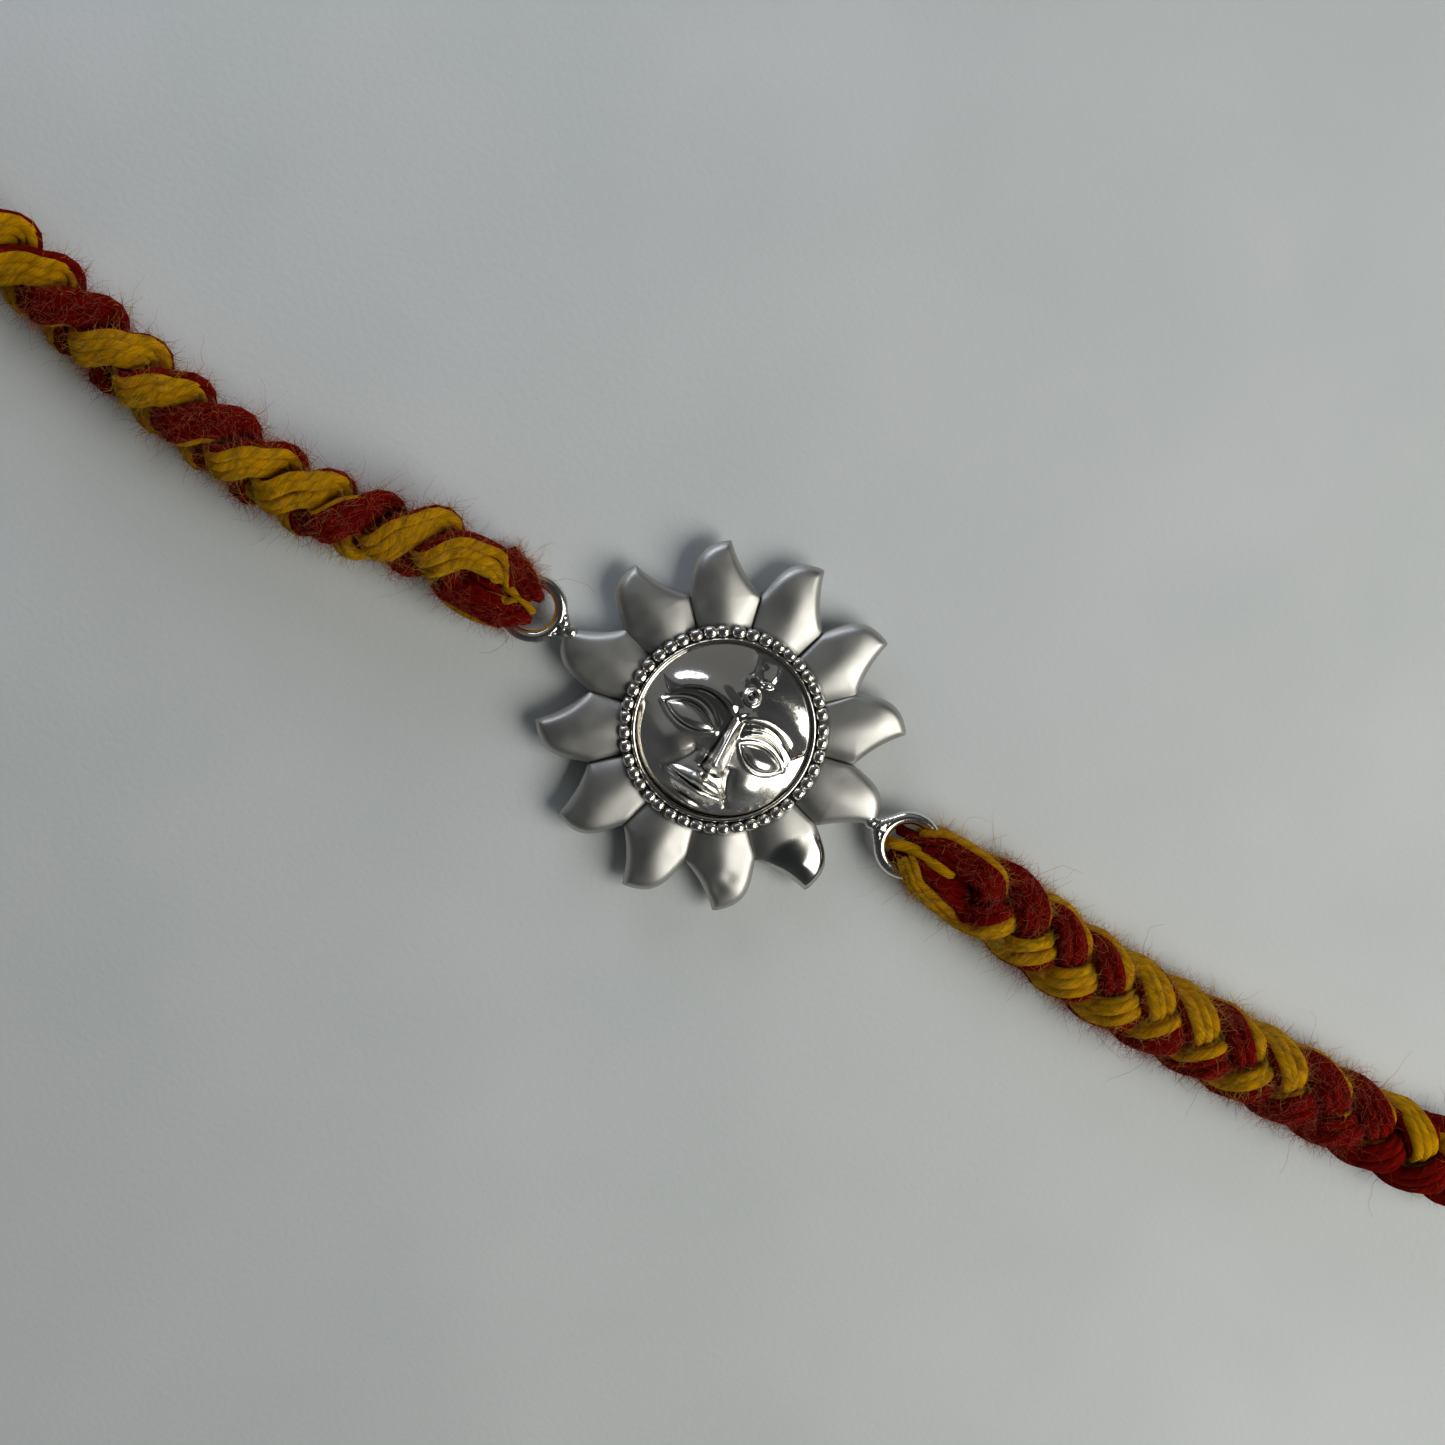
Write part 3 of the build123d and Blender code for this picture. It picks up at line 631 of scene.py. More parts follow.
def collar(bm):
    """The thin ring inside the beads, round on top."""
    half = COLLAR_WIDTH / 2
    profile = [(COLLAR_RADIUS - half, COLLAR_FOOT), (COLLAR_RADIUS + half, COLLAR_FOOT)]
    steps = 6
    for step in range(steps + 1):
        angle = math.pi * step / steps
        height = COLLAR_HEIGHT - half + half * math.sin(angle)
        profile.append((COLLAR_RADIUS + half * math.cos(angle), height))
    ring_by_spin(bm, profile, RIM_STEPS)


def bead(bm, number, chance):
    """One bead of the rim, pressed a little square by its neighbours."""
    hollow = bm.verts.layers.float["hollow"]
    worn = bm.verts.layers.float["worn"]
    angle = 2 * math.pi * (number + chance.uniform(-0.08, 0.08)) / BEAD_COUNT
    place = Matrix.Rotation(angle, 4, "Z") @ Matrix.Translation((BEAD_RING_RADIUS, 0, BEAD_HEIGHT))
    place = place @ Matrix.Rotation(chance.uniform(-0.10, 0.10), 4, "Y")
    half_size = [BEAD_DIAMETER / 2 * growth * chance.uniform(0.98, 1.04) for growth in BEAD_GROWTH]
    made = bmesh.ops.create_uvsphere(bm, u_segments=16, v_segments=12, radius=1.0)
    for point in made["verts"]:
        square = [math.copysign(abs(part) ** power, part) * half
                  for part, power, half in zip(point.co, BEAD_SQUARENESS, half_size)]
        point.co = place @ Vector(square)
        point.co += Vector([chance.uniform(-0.008, 0.008) for _ in range(3)])
        # painted shade and tarnish between the beads darken them below their tops
        point[hollow] = max(0.0, min(1.0, (1.34 - point.co.z) / 0.16))
        point[worn] = 0.40


def bead_rim(material):
    """The seat with its round beads, and the thin collar inside them."""
    bm = bmesh.new()
    hollow = bm.verts.layers.float.new("hollow")
    bm.verts.layers.float.new("worn")
    bead_seat(bm)
    # the whole seat is painted dark: partly blackened silver, partly painted shade under and between the
    # beads
    for point in bm.verts:
        point[hollow] = 0.7
    collar(bm)
    chance = random.Random(11)
    for number in range(BEAD_COUNT):
        bead(bm, number, chance)
    bmesh.ops.recalc_face_normals(bm, faces=bm.faces)
    bmesh_piece(bm, SUN_PLACE, "sun_bead_rim", material, ["sun_pendant"], sharp=60)


# Face

# Soft swells: middle across and up, reach across and up, height
SOCKETS_AND_CHEEKS = [
    (2.75, 0.40, 1.75, 0.95, -0.46),
    (-2.50, 0.40, 1.75, 0.95, -0.46),
    (3.25, -2.35, 1.45, 1.25, 0.50),
    (-3.00, -2.45, 1.45, 1.25, 0.42),
]
NOSE_WINGS = [(-0.48, -2.05, 0.42, 0.40, 0.22), (1.12, -2.10, 0.50, 0.44, 0.24)]
NOSTRILS = [(-0.15, -2.72, 0.24, 0.12, -0.16), (0.80, -2.74, 0.26, 0.12, -0.16)]
CHIN = (0.25, -5.35, 1.0, 0.36, 0.24)
# Lines along an arc: its start, peak and end, height, width above it and below it
BROWS = [
    ((0.22, 1.25), (2.49, 2.02), (4.95, 0.85), 0.40, 0.75, 0.17),
    ((-4.75, 0.45), (-2.43, 1.94), (0.10, 1.20), 0.40, 0.75, 0.17),
]
LID_FOLDS = [
    ((0.95, 0.35), (2.80, 1.16), (4.80, 0.15), 0.18, 0.24, 0.15),
    ((-4.65, 0.00), (-2.60, 1.20), (-0.60, 0.25), 0.18, 0.24, 0.15),
    ((0.75, 0.75), (2.75, 1.55), (4.85, 0.52), 0.08, 0.16, 0.14),
    ((-4.65, 0.28), (-2.50, 1.52), (-0.50, 0.70), 0.08, 0.16, 0.14),
]
CHEEK_FOLDS = [
    ((1.45, -1.7), (1.85, -2.8), (2.85, -4.35), -0.26, 0.36, 0.26),
    ((-0.90, -1.7), (-1.45, -2.8), (-2.35, -4.25), -0.18, 0.34, 0.36),
]
# Corners of each eye, then the heights of its upper and lower edge
EYES = [((1.18, -0.10), (4.62, -0.14), 0.56, -1.15), ((-4.56, -0.40), (-0.70, -0.30), 0.62, -1.10)]


def hill(x, y, cx, cy, rx, ry, height, turn=0.0, power=1.5):
    """A rounded oval rise with a definite edge."""
    c, s = math.cos(math.radians(turn)), math.sin(math.radians(turn))
    u = ((x - cx) * c + (y - cy) * s) / rx
    v = ((y - cy) * c - (x - cx) * s) / ry
    return height * np.clip(1 - u * u - v * v, 0, 1) ** power


def soft_hill(x, y, cx, cy, rx, ry, height):
    """A rise that fades out all round."""
    return height * np.exp(-((x - cx) / rx) ** 2 - ((y - cy) / ry) ** 2)


def arc_distance(x, y, start, peak, end):
    """Distance to the arc through three points, with its sign above or below, and the share along it."""
    count = 40
    steps = np.linspace(0, 1, count + 1)
    middle = 2 * np.array(peak) - 0.5 * (np.array(start) + np.array(end))
    path = (np.outer((1 - steps) ** 2, start) + np.outer(2 * steps * (1 - steps), middle)
            + np.outer(steps**2, end))
    best = np.full(x.shape, np.inf)
    share = np.zeros(x.shape)
    sign = np.ones(x.shape)
    for (ax, ay), (bx, by), step in zip(path, path[1:], steps):
        dx, dy = bx - ax, by - ay
        t = np.clip(((x - ax) * dx + (y - ay) * dy) / (dx * dx + dy * dy), 0, 1)
        gap = np.hypot(x - ax - dx * t, y - ay - dy * t)
        nearer = gap < best
        best = np.where(nearer, gap, best)
        share = np.where(nearer, step + t / count, share)
        sign = np.where(nearer, np.sign(dx * (y - ay) - dy * (x - ax)), sign)
    return best * sign, share


def ridge(x, y, start, peak, end, height, above, below, ends=0.15):
    """A raised line along an arc, with its own steepness on each side, fading at its ends."""
    gap, share = arc_distance(x, y, start, peak, end)
    fade = np.sqrt(np.clip(share / ends, 0, 1) * np.clip((1 - share) / ends, 0, 1))
    width = np.where(gap > 0, above, below)
    return height * fade * np.exp(-((gap / width) ** 2))


def eye(x, y, left, right, peak, low):
    """An almond eye: a rolled rim, a groove and a full eyeball."""
    ball_height = 0.62
    rim_height = 0.13
    groove_depth = 0.09
    share = np.clip((x - left[0]) / (right[0] - left[0]), 0, 1)
    line = blend(left[1], right[1], share)
    bow = (4 * share * (1 - share)) ** 0.85
    middle_y = (left[1] + right[1]) / 2
    top = line + (peak - middle_y) * bow
    bottom = line - (middle_y - low) * bow
    beyond = np.where(x < left[0], left[0] - x, x - right[0])
    inside = np.where(beyond > 0, -np.hypot(beyond, y - line), np.minimum(top - y, y - bottom))
    half_width = (right[0] - left[0]) / 2
    half_height = (peak - low) / 2
    ball = hill(x, y, (left[0] + right[0]) / 2, (peak + low) / 2, half_width * 1.02, half_height * 1.15,
                ball_height, power=1.0)
    ball = ball * np.clip(inside / 0.22, 0, 1) ** 0.8
    rim = rim_height * np.exp(-((inside + 0.06) / 0.17) ** 2)
    groove = -groove_depth * np.exp(-((inside - 0.15) / 0.10) ** 2)
    return ball + rim + groove


def nose(x, y):
    """A narrow ridge with a sheer left side that widens to the tip."""
    top = 1.15
    bottom = -2.20
    share = np.clip((top - y) / (top - bottom), 0, 1)
    # down the nose its ridge drifts to the right and rises, and its sides widen
    line = blend(0.16, 0.36, share)
    height = 0.26 + 0.92 * share**1.2
    left_width = blend(0.32, 0.58, share**1.6)
    right_width = blend(0.52, 0.98, share**1.3)
    gap = x - line
    fall = np.where(gap < 0, -gap / left_width, gap / right_width)
    profile = np.where(gap < 0, np.clip(1 - fall**2.2, 0, 1), np.clip(1 - fall**1.3, 0, 1))
    end = np.clip(1 - np.clip((bottom + 0.35 - y) / 0.95, 0, 1) ** 2.2, 0, 1)
    start = np.clip(1 - (y - top) / 0.9, 0, 1) ** 2
    return height * profile * end * np.where(y > top, start, 1.0)


def mouth(x, y):
    """The muzzle with two full lips and the line between them."""
    rise = soft_hill(x, y, 0.30, -3.75, 1.80, 1.10, 0.62)
    rise += hill(x, y, 0.15, -2.95, 1.25, 0.55, 0.14, 6)
    # the upper lip in two halves, then the lower lip
    rise += hill(x, y, -0.62, -3.72, 1.55, 0.50, 0.26, 10, power=1.1)
    rise += hill(x, y, 1.10, -3.70, 1.60, 0.52, 0.30, -9, power=1.1)
    rise += hill(x, y, 0.28, -4.40, 1.75, 0.55, 0.34, power=1.1)
    # the line between them rises to its corners
    share = (x - 0.24) / 2.25
    line = -4.05 + 0.16 * share**2
    open_share = np.clip(1 - share**2, 0, 1) ** 0.5
    rise -= 0.26 * np.exp(-((y - line) / 0.10) ** 2) * open_share
    # hollows below the lower lip and under the nose
    rise -= soft_hill(x, y, 0.30, -5.02, 1.25, 0.18, 0.14)
    rise -= soft_hill(x, y, 0.20, -3.20, 0.18, 0.26, 0.10)
    return rise


def brow_marks(x, y):
    """The raised tilak on the brow: a dotted ring with curved lines above and beside it."""
    reach = np.hypot(x - 0.2, y - 2.95)
    mark = 0.24 * np.exp(-((reach - 0.42) / 0.17) ** 2) + 0.05 * np.exp(-((reach / 0.15) ** 2))
    mark += hill(x, y, 0.66, 4.12, 0.50, 0.24, 0.26, 8, power=0.8)
    mark += ridge(x, y, (-0.78, 5.60), (-0.66, 4.95), (-0.38, 4.20), 0.14, 0.22, 0.30, 0.4)
    mark += ridge(x, y, (0.70, 5.60), (0.86, 5.00), (0.84, 4.30), 0.13, 0.20, 0.26, 0.4)
    mark += ridge(x, y, (-0.50, 4.22), (0.0, 4.00), (0.40, 4.10), 0.14, 0.18, 0.20)
    mark -= soft_hill(x, y, 0.10, 4.70, 0.42, 0.42, 0.10)
    mark += ridge(x, y, (-0.98, 3.55), (-0.62, 3.3), (-0.70, 2.6), 0.08, 0.25, 0.25)
    return mark


def jaw_drop(x, y):
    """How far the rim outside the jaw lies below the cheeks."""
    reach = np.hypot((x - 0.1) / 5.55, (y + 1.0) / 4.62)
    share = np.clip((reach - 0.955) / 0.085, 0, 1)
    low = np.clip((-1.0 - y) / 1.2, 0, 1)
    drop = 0.42
    return drop * share * share * (3 - 2 * share) * low


def face_relief(x, y):
    """Height of the whole face above its seat."""
    ball = (FACE_RADIUS**2 + FACE_RISE**2) / (2 * FACE_RISE)
    reach = np.minimum(np.hypot(x, y), FACE_RADIUS)
    z = np.sqrt(ball**2 - reach**2) - (ball - FACE_RISE)
    # sockets sink under the brows, and the cheeks swell below them
    for swell in SOCKETS_AND_CHEEKS:
        z = z + soft_hill(x, y, *swell)
    # the brows fall sharply to the sockets
    for line in BROWS + LID_FOLDS:
        z = z + ridge(x, y, *line)
    for edges in EYES:
        z = z + eye(x, y, *edges)
    z = z + nose(x, y)
    for swell in NOSE_WINGS + NOSTRILS:
        z = z + soft_hill(x, y, *swell)
    # folds run from the nostrils down past the mouth
    for line in CHEEK_FOLDS:
        z = z + ridge(x, y, *line)
    z = z + mouth(x, y)
    z = z + soft_hill(x, y, *CHIN)
    return z + brow_marks(x, y) - jaw_drop(x, y)


def face_depth(x, y, z):
    """How far each place lies in a hollow, set against the places round it, for the tarnish."""
    around = np.zeros(z.shape)
    samples = 8
    for step in range(samples):
        angle = 2 * math.pi * step / samples
        shifted = face_relief(x + TARNISH_REACH * math.cos(angle), y + TARNISH_REACH * math.sin(angle))
        around += shifted / samples
    return np.clip((around - z - 0.015) / 0.07, 0, 1)


def sun_face(material):
    """The domed face with its relief, closed below inside the collar."""
    bm = bmesh.new()
    hollow = bm.verts.layers.float.new("hollow")
    worn = bm.verts.layers.float.new("worn")
    bmesh.ops.create_grid(bm, x_segments=FACE_STEPS, y_segments=FACE_STEPS, size=1.0)
    # the square grid is drawn in to a disc
    flat = np.array([point.co[:2] for point in bm.verts])
    x = flat[:, 0] * np.sqrt(1 - flat[:, 1] ** 2 / 2) * FACE_RADIUS
    y = flat[:, 1] * np.sqrt(1 - flat[:, 0] ** 2 / 2) * FACE_RADIUS
    z = face_relief(x, y)
    depth = face_depth(x, y, z)
    rim = np.clip((np.hypot(x, y) - FACE_RADIUS + 0.12) / 0.12, 0, 1)
    for point, px, py, pz, deep, edge in zip(bm.verts, x, y, z, depth, rim):
        point.co = (px, py, FACE_SEAT_HEIGHT + pz)
        point[worn] = smooth((1.2 - py) / 3.0) * 0.8
        point[hollow] = max(deep, 0.5 * edge)
    wall = bmesh.ops.extrude_edge_only(bm, edges=[e for e in bm.edges if e.is_boundary])["geom"]
    for point in wall:
        if isinstance(point, bmesh.types.BMVert):
            point.co.z = PLATE_THICKNESS - 0.2
    bmesh.ops.contextual_create(bm, geom=[e for e in bm.edges if e.is_boundary])
    bmesh.ops.recalc_face_normals(bm, faces=bm.faces)
    bmesh_piece(bm, SUN_PLACE, "sun_face", material, ["sun_pendant"], sharp=80)


# Jump rings and solder

def jump_rings(material):
    """The two closed rings of drawn wire."""
    bm = bmesh.new()
    wire = []
    for step in range(WIRE_STEPS):
        angle = 2 * math.pi * step / WIRE_STEPS
        wire.append((RING_CENTRE_RADIUS + RING_WIRE / 2 * math.cos(angle), RING_WIRE / 2 * math.sin(angle)))
    for side in (1, -1):
        ring_by_spin(bm, wire, RING_STEPS, Vector((side * RING_X, 0, PLATE_THICKNESS / 2)))
    bmesh.ops.recalc_face_normals(bm, faces=bm.faces)
    bmesh_piece(bm, SUN_PLACE, "sun_jump_rings", material, ["sun_pendant"])


def solder_lumps(chance):
    """Place and radius of the lumps that make up both joints."""
    lumps = []
    for side in (1, -1):
        for share in (0.0, 0.33, 0.67, 1.0):
            x = side * blend(12.0, 12.9, share)
            lumps.append((x, chance.uniform(-0.06, 0.06), SOLDER_SIZE, SOLDER_SIZE))
        # the solder has run along the wire both ways, 42 degrees round the ring
        for bend in (-1, 1):
            branch = Vector((RING_X, 0)) + polar(RING_CENTRE_RADIUS, 180 + bend * 42)
            for share in (0.3, 0.5, 0.7, 0.9):
                place = Vector((12.35, bend * 0.10)).lerp(branch, share)
                lumps.append((side * place.x, place.y, 0.45, blend(SOLDER_SIZE, 0.42, share)))
    return lumps


def solder_joints(material):
    """Lumps of solder that bridge each ray's tip and its ring, with arms along the wire."""
    bm = bmesh.new()
    chance = random.Random(5)
    for x, y, z, size in solder_lumps(chance):
        bmesh.ops.create_icosphere(bm, subdivisions=3, radius=size * chance.uniform(0.95, 1.05),
                                   matrix=Matrix.Translation((x, y, z)))
    bmesh.ops.transform(bm, matrix=SUN_PLACE, verts=bm.verts)
    mesh = bpy.data.meshes.new("solder")
    bm.to_mesh(mesh)
    bm.free()
    holder = bpy.data.objects.new("solder", mesh)
    bpy.context.scene.collection.objects.link(holder)
    # the lumps flow into one another
    remesh = holder.modifiers.new("remesh", "REMESH")
    remesh.mode = "VOXEL"
    remesh.voxel_size = SOLDER_VOXEL * MM
    relax = holder.modifiers.new("relax", "SMOOTH")
    relax.iterations = 5
    graph = bpy.context.evaluated_depsgraph_get()
    joined = bpy.data.meshes.new_from_object(holder.evaluated_get(graph))
    bpy.data.objects.remove(holder)
    finish_piece(joined, "sun_solder_joints", material, ["sun_pendant"])


# Yarn

def two_plies(tree, parts, twist):
    """Place across the lay of two plies that turn once in so many millimetres, and their rise and fall."""
    turns = add_node(tree, "ShaderNodeMath", {0: parts.outputs["X"], 1: 1 / twist}, operation="MULTIPLY")
    lay = add_node(tree, "ShaderNodeMath", {0: turns.outputs["Value"], 1: parts.outputs["Y"]},
                   operation="ADD")
    wave = add_node(tree, "ShaderNodeMath", {0: lay.outputs["Value"], 1: 4 * math.pi}, operation="MULTIPLY")
    ply = add_node(tree, "ShaderNodeMath", {0: wave.outputs["Value"]}, operation="SINE")
    return lay.outputs["Value"], ply.outputs["Value"]


def wool_yarn(name, base, dark, pale, tint):
    """Dyed spun wool: matt and hairy, two plies wound round each other with fine fibres along them."""
    material, tree, output = new_material(name)
    layer = add_node(tree, "ShaderNodeUVMap", uv_map="UVMap").outputs["UV"]
    place = add_node(tree, "ShaderNodeTexCoord").outputs["Object"]
    parts = add_node(tree, "ShaderNodeSeparateXYZ", {"Vector": layer})
    lay, ply = two_plies(tree, parts, 3.6)
    # fibres run along the plies, about 0.1 mm apart, drawn coarser than the real 0.02 mm
    spread = add_node(tree, "ShaderNodeMath", {0: lay, 1: 26.0}, operation="MULTIPLY")
    length = add_node(tree, "ShaderNodeMath", {0: parts.outputs["X"], 1: 0.8}, operation="MULTIPLY")
    fibre_place = add_node(tree, "ShaderNodeCombineXYZ",
                           {"X": length.outputs["Value"], "Y": spread.outputs["Value"]})
    fibres = add_node(tree, "ShaderNodeTexNoise",
                      {"Vector": fibre_place.outputs["Vector"], "Scale": 1.0, "Detail": 3.0,
                       "Roughness": 0.7})
    # patches of deeper and paler dye, some 2 mm long
    dye = add_node(tree, "ShaderNodeTexNoise", {"Vector": place, "Scale": 450.0, "Detail": 3.0})
    colour = add_node(tree, "ShaderNodeValToRGB", {"Fac": fibres.outputs["Fac"]},
                      [(0.28, linear(dark)), (0.52, linear(base)), (0.80, linear(pale))])
    deep = add_node(tree, "ShaderNodeMapRange",
                    {"Value": dye.outputs["Fac"], "From Min": 0.3, "From Max": 0.7,
                     "To Min": 0.72, "To Max": 1.1})
    # painted shade: the colour is darker in the groove between the plies
    groove = add_node(tree, "ShaderNodeMapRange",
                      {"Value": ply, "From Min": -1.0, "From Max": -0.2, "To Min": 0.72, "To Max": 1.0})
    shade = add_node(tree, "ShaderNodeMath", {0: deep.outputs["Result"], 1: groove.outputs["Result"]},
                     operation="MULTIPLY")
    dyed_and_groove_shaded = add_node(tree, "ShaderNodeMix", {0: 1.0, 6: colour.outputs["Color"], 7: shade.outputs["Value"]},
                    data_type="RGBA", blend_type="MULTIPLY")
    plied = add_node(tree, "ShaderNodeBump", {"Height": ply, "Strength": 0.6, "Distance": 0.00004})
    hairy = add_node(tree, "ShaderNodeBump",
                     {"Height": fibres.outputs["Fac"], "Strength": 1.0, "Distance": 0.00016,
                      "Normal": plied.outputs["Normal"]})
    shader = add_node(tree, "ShaderNodeBsdfPrincipled",
                      {"Base Color": dyed_and_groove_shaded.outputs[2], "Roughness": 0.95, "Sheen Weight": 0.2,
                       "Sheen Roughness": 0.6, "Sheen Tint": linear(tint), "Specular IOR Level": 0.04,
                       "Subsurface Weight": 0.4, "Subsurface Scale": 0.0003,
                       "Normal": hairy.outputs["Normal"]})
    tree.links.new(shader.outputs["BSDF"], output.inputs["Surface"])
    return material


def loose_fibre(name, root, tip):
    """Loose wool fibres: fine and matt, of another tone towards their tips."""
    material, tree, output = new_material(name)
    layer = add_node(tree, "ShaderNodeUVMap", uv_map="UVMap").outputs["UV"]
    parts = add_node(tree, "ShaderNodeSeparateXYZ", {"Vector": layer})
    # the tip's tone is reached a millimetre out
    colour = add_node(tree, "ShaderNodeValToRGB", {"Fac": parts.outputs["X"]},
                      [(0.0, linear(root)), (1.0, linear(tip))])
    shader = add_node(tree, "ShaderNodeBsdfPrincipled",
                      {"Base Color": colour.outputs["Color"], "Roughness": 0.7, "Specular IOR Level": 0.3})
    tree.links.new(shader.outputs["BSDF"], output.inputs["Surface"])
    return material


def strand_offset(phase, fullness):
    """Where a strand lies in the plait: across it and above its middle."""
    across = math.sin(phase) + EDGE_SHARE * fullness * math.sin(3 * phase)
    rise = math.sin(2 * phase) + CROSSING_SHARE * fullness * math.sin(4 * phase)
    return blend(SLEEVE_SPREAD, ACROSS, fullness) * across, -blend(SLEEVE_SPREAD, RISE, fullness) * rise


def rest_height(roll):
    """Height of a plait's middle when it lies rolled by some degrees."""
    turn = math.radians(roll)
    heights = []
    steps = 36
    for step in range(steps):
        phase = 2 * math.pi * step / steps
        across, rise = strand_offset(phase, 1.0)
        slope = LEAN * math.sin(phase) - turn
        reach = math.hypot(STRAND_WIDTH / 2 * math.sin(slope), STRAND_THICKNESS / 2 * math.cos(slope))
        heights.append(reach - across * math.sin(turn) - rise * math.cos(turn))
    return max(heights)


def led_place(a, b, c, d, t):
    """Place and heading at a share of the span that four points lead."""
    u = 1 - t
    near = b * (4 - 3 * t * t * (1 + u)) + c * (4 - 3 * u * u * (1 + t))
    turning = c * (1 + 2 * t - 3 * t * t) - b * (1 + 2 * u - 3 * u * u)
    return (a * u**3 + near + d * t**3) / 6, (d * t * t + turning - a * u * u) / 2


class Line:
    """A smooth line led by points, measured along its length."""

    def __init__(self, points):
        self.places = []
        self.headings = []
        for a, b, c, d in zip(points, points[1:], points[2:], points[3:]):
            for i in range(STEPS_A_SPAN):
                place, heading = led_place(a, b, c, d, i / STEPS_A_SPAN)
                self.places.append(place)
                self.headings.append(heading)
        self.distances = [0.0]
        for place, following in zip(self.places, self.places[1:]):
            self.distances.append(self.distances[-1] + (following - place).length)
        self.length = self.distances[-1]

    def at(self, distance):
        """Place and heading at a distance from the start."""
        i = min(max(bisect(self.distances, distance), 1), len(self.distances) - 1)
        share = (distance - self.distances[i - 1]) / (self.distances[i] - self.distances[i - 1])
        share = min(max(share, 0.0), 1.0)
        place = blend(self.places[i - 1], self.places[i], share)
        return place, blend(self.headings[i - 1], self.headings[i], share).normalized()


def pulled_place(start, start_pull, end, end_pull, t):
    """Place and heading at a share of a curve with a given pull at each end."""
    place = (start * (2 * t**3 - 3 * t**2 + 1) + start_pull * (t**3 - 2 * t**2 + t)
             + end * (3 * t**2 - 2 * t**3) + end_pull * (t**3 - t**2))
    heading = (start * (6 * t**2 - 6 * t) + start_pull * (3 * t**2 - 4 * t + 1)
               + end * (6 * t - 6 * t**2) + end_pull * (3 * t**2 - 2 * t))
    return place, heading


class Station:
    """One section of a strand: its place, direction, flat side, size and distance along the arm."""

    def __init__(self, centre, along, normal, width, thickness, distance=0.0, middle=None):
        self.centre = centre
        self.middle = middle or Vector((centre.x, 0, RING_Z))
        self.along = along.normalized()
        self.wide = normal.cross(self.along).normalized()
        self.thin = self.along.cross(self.wide)
        self.width = width
        self.thickness = thickness
        self.distance = distance


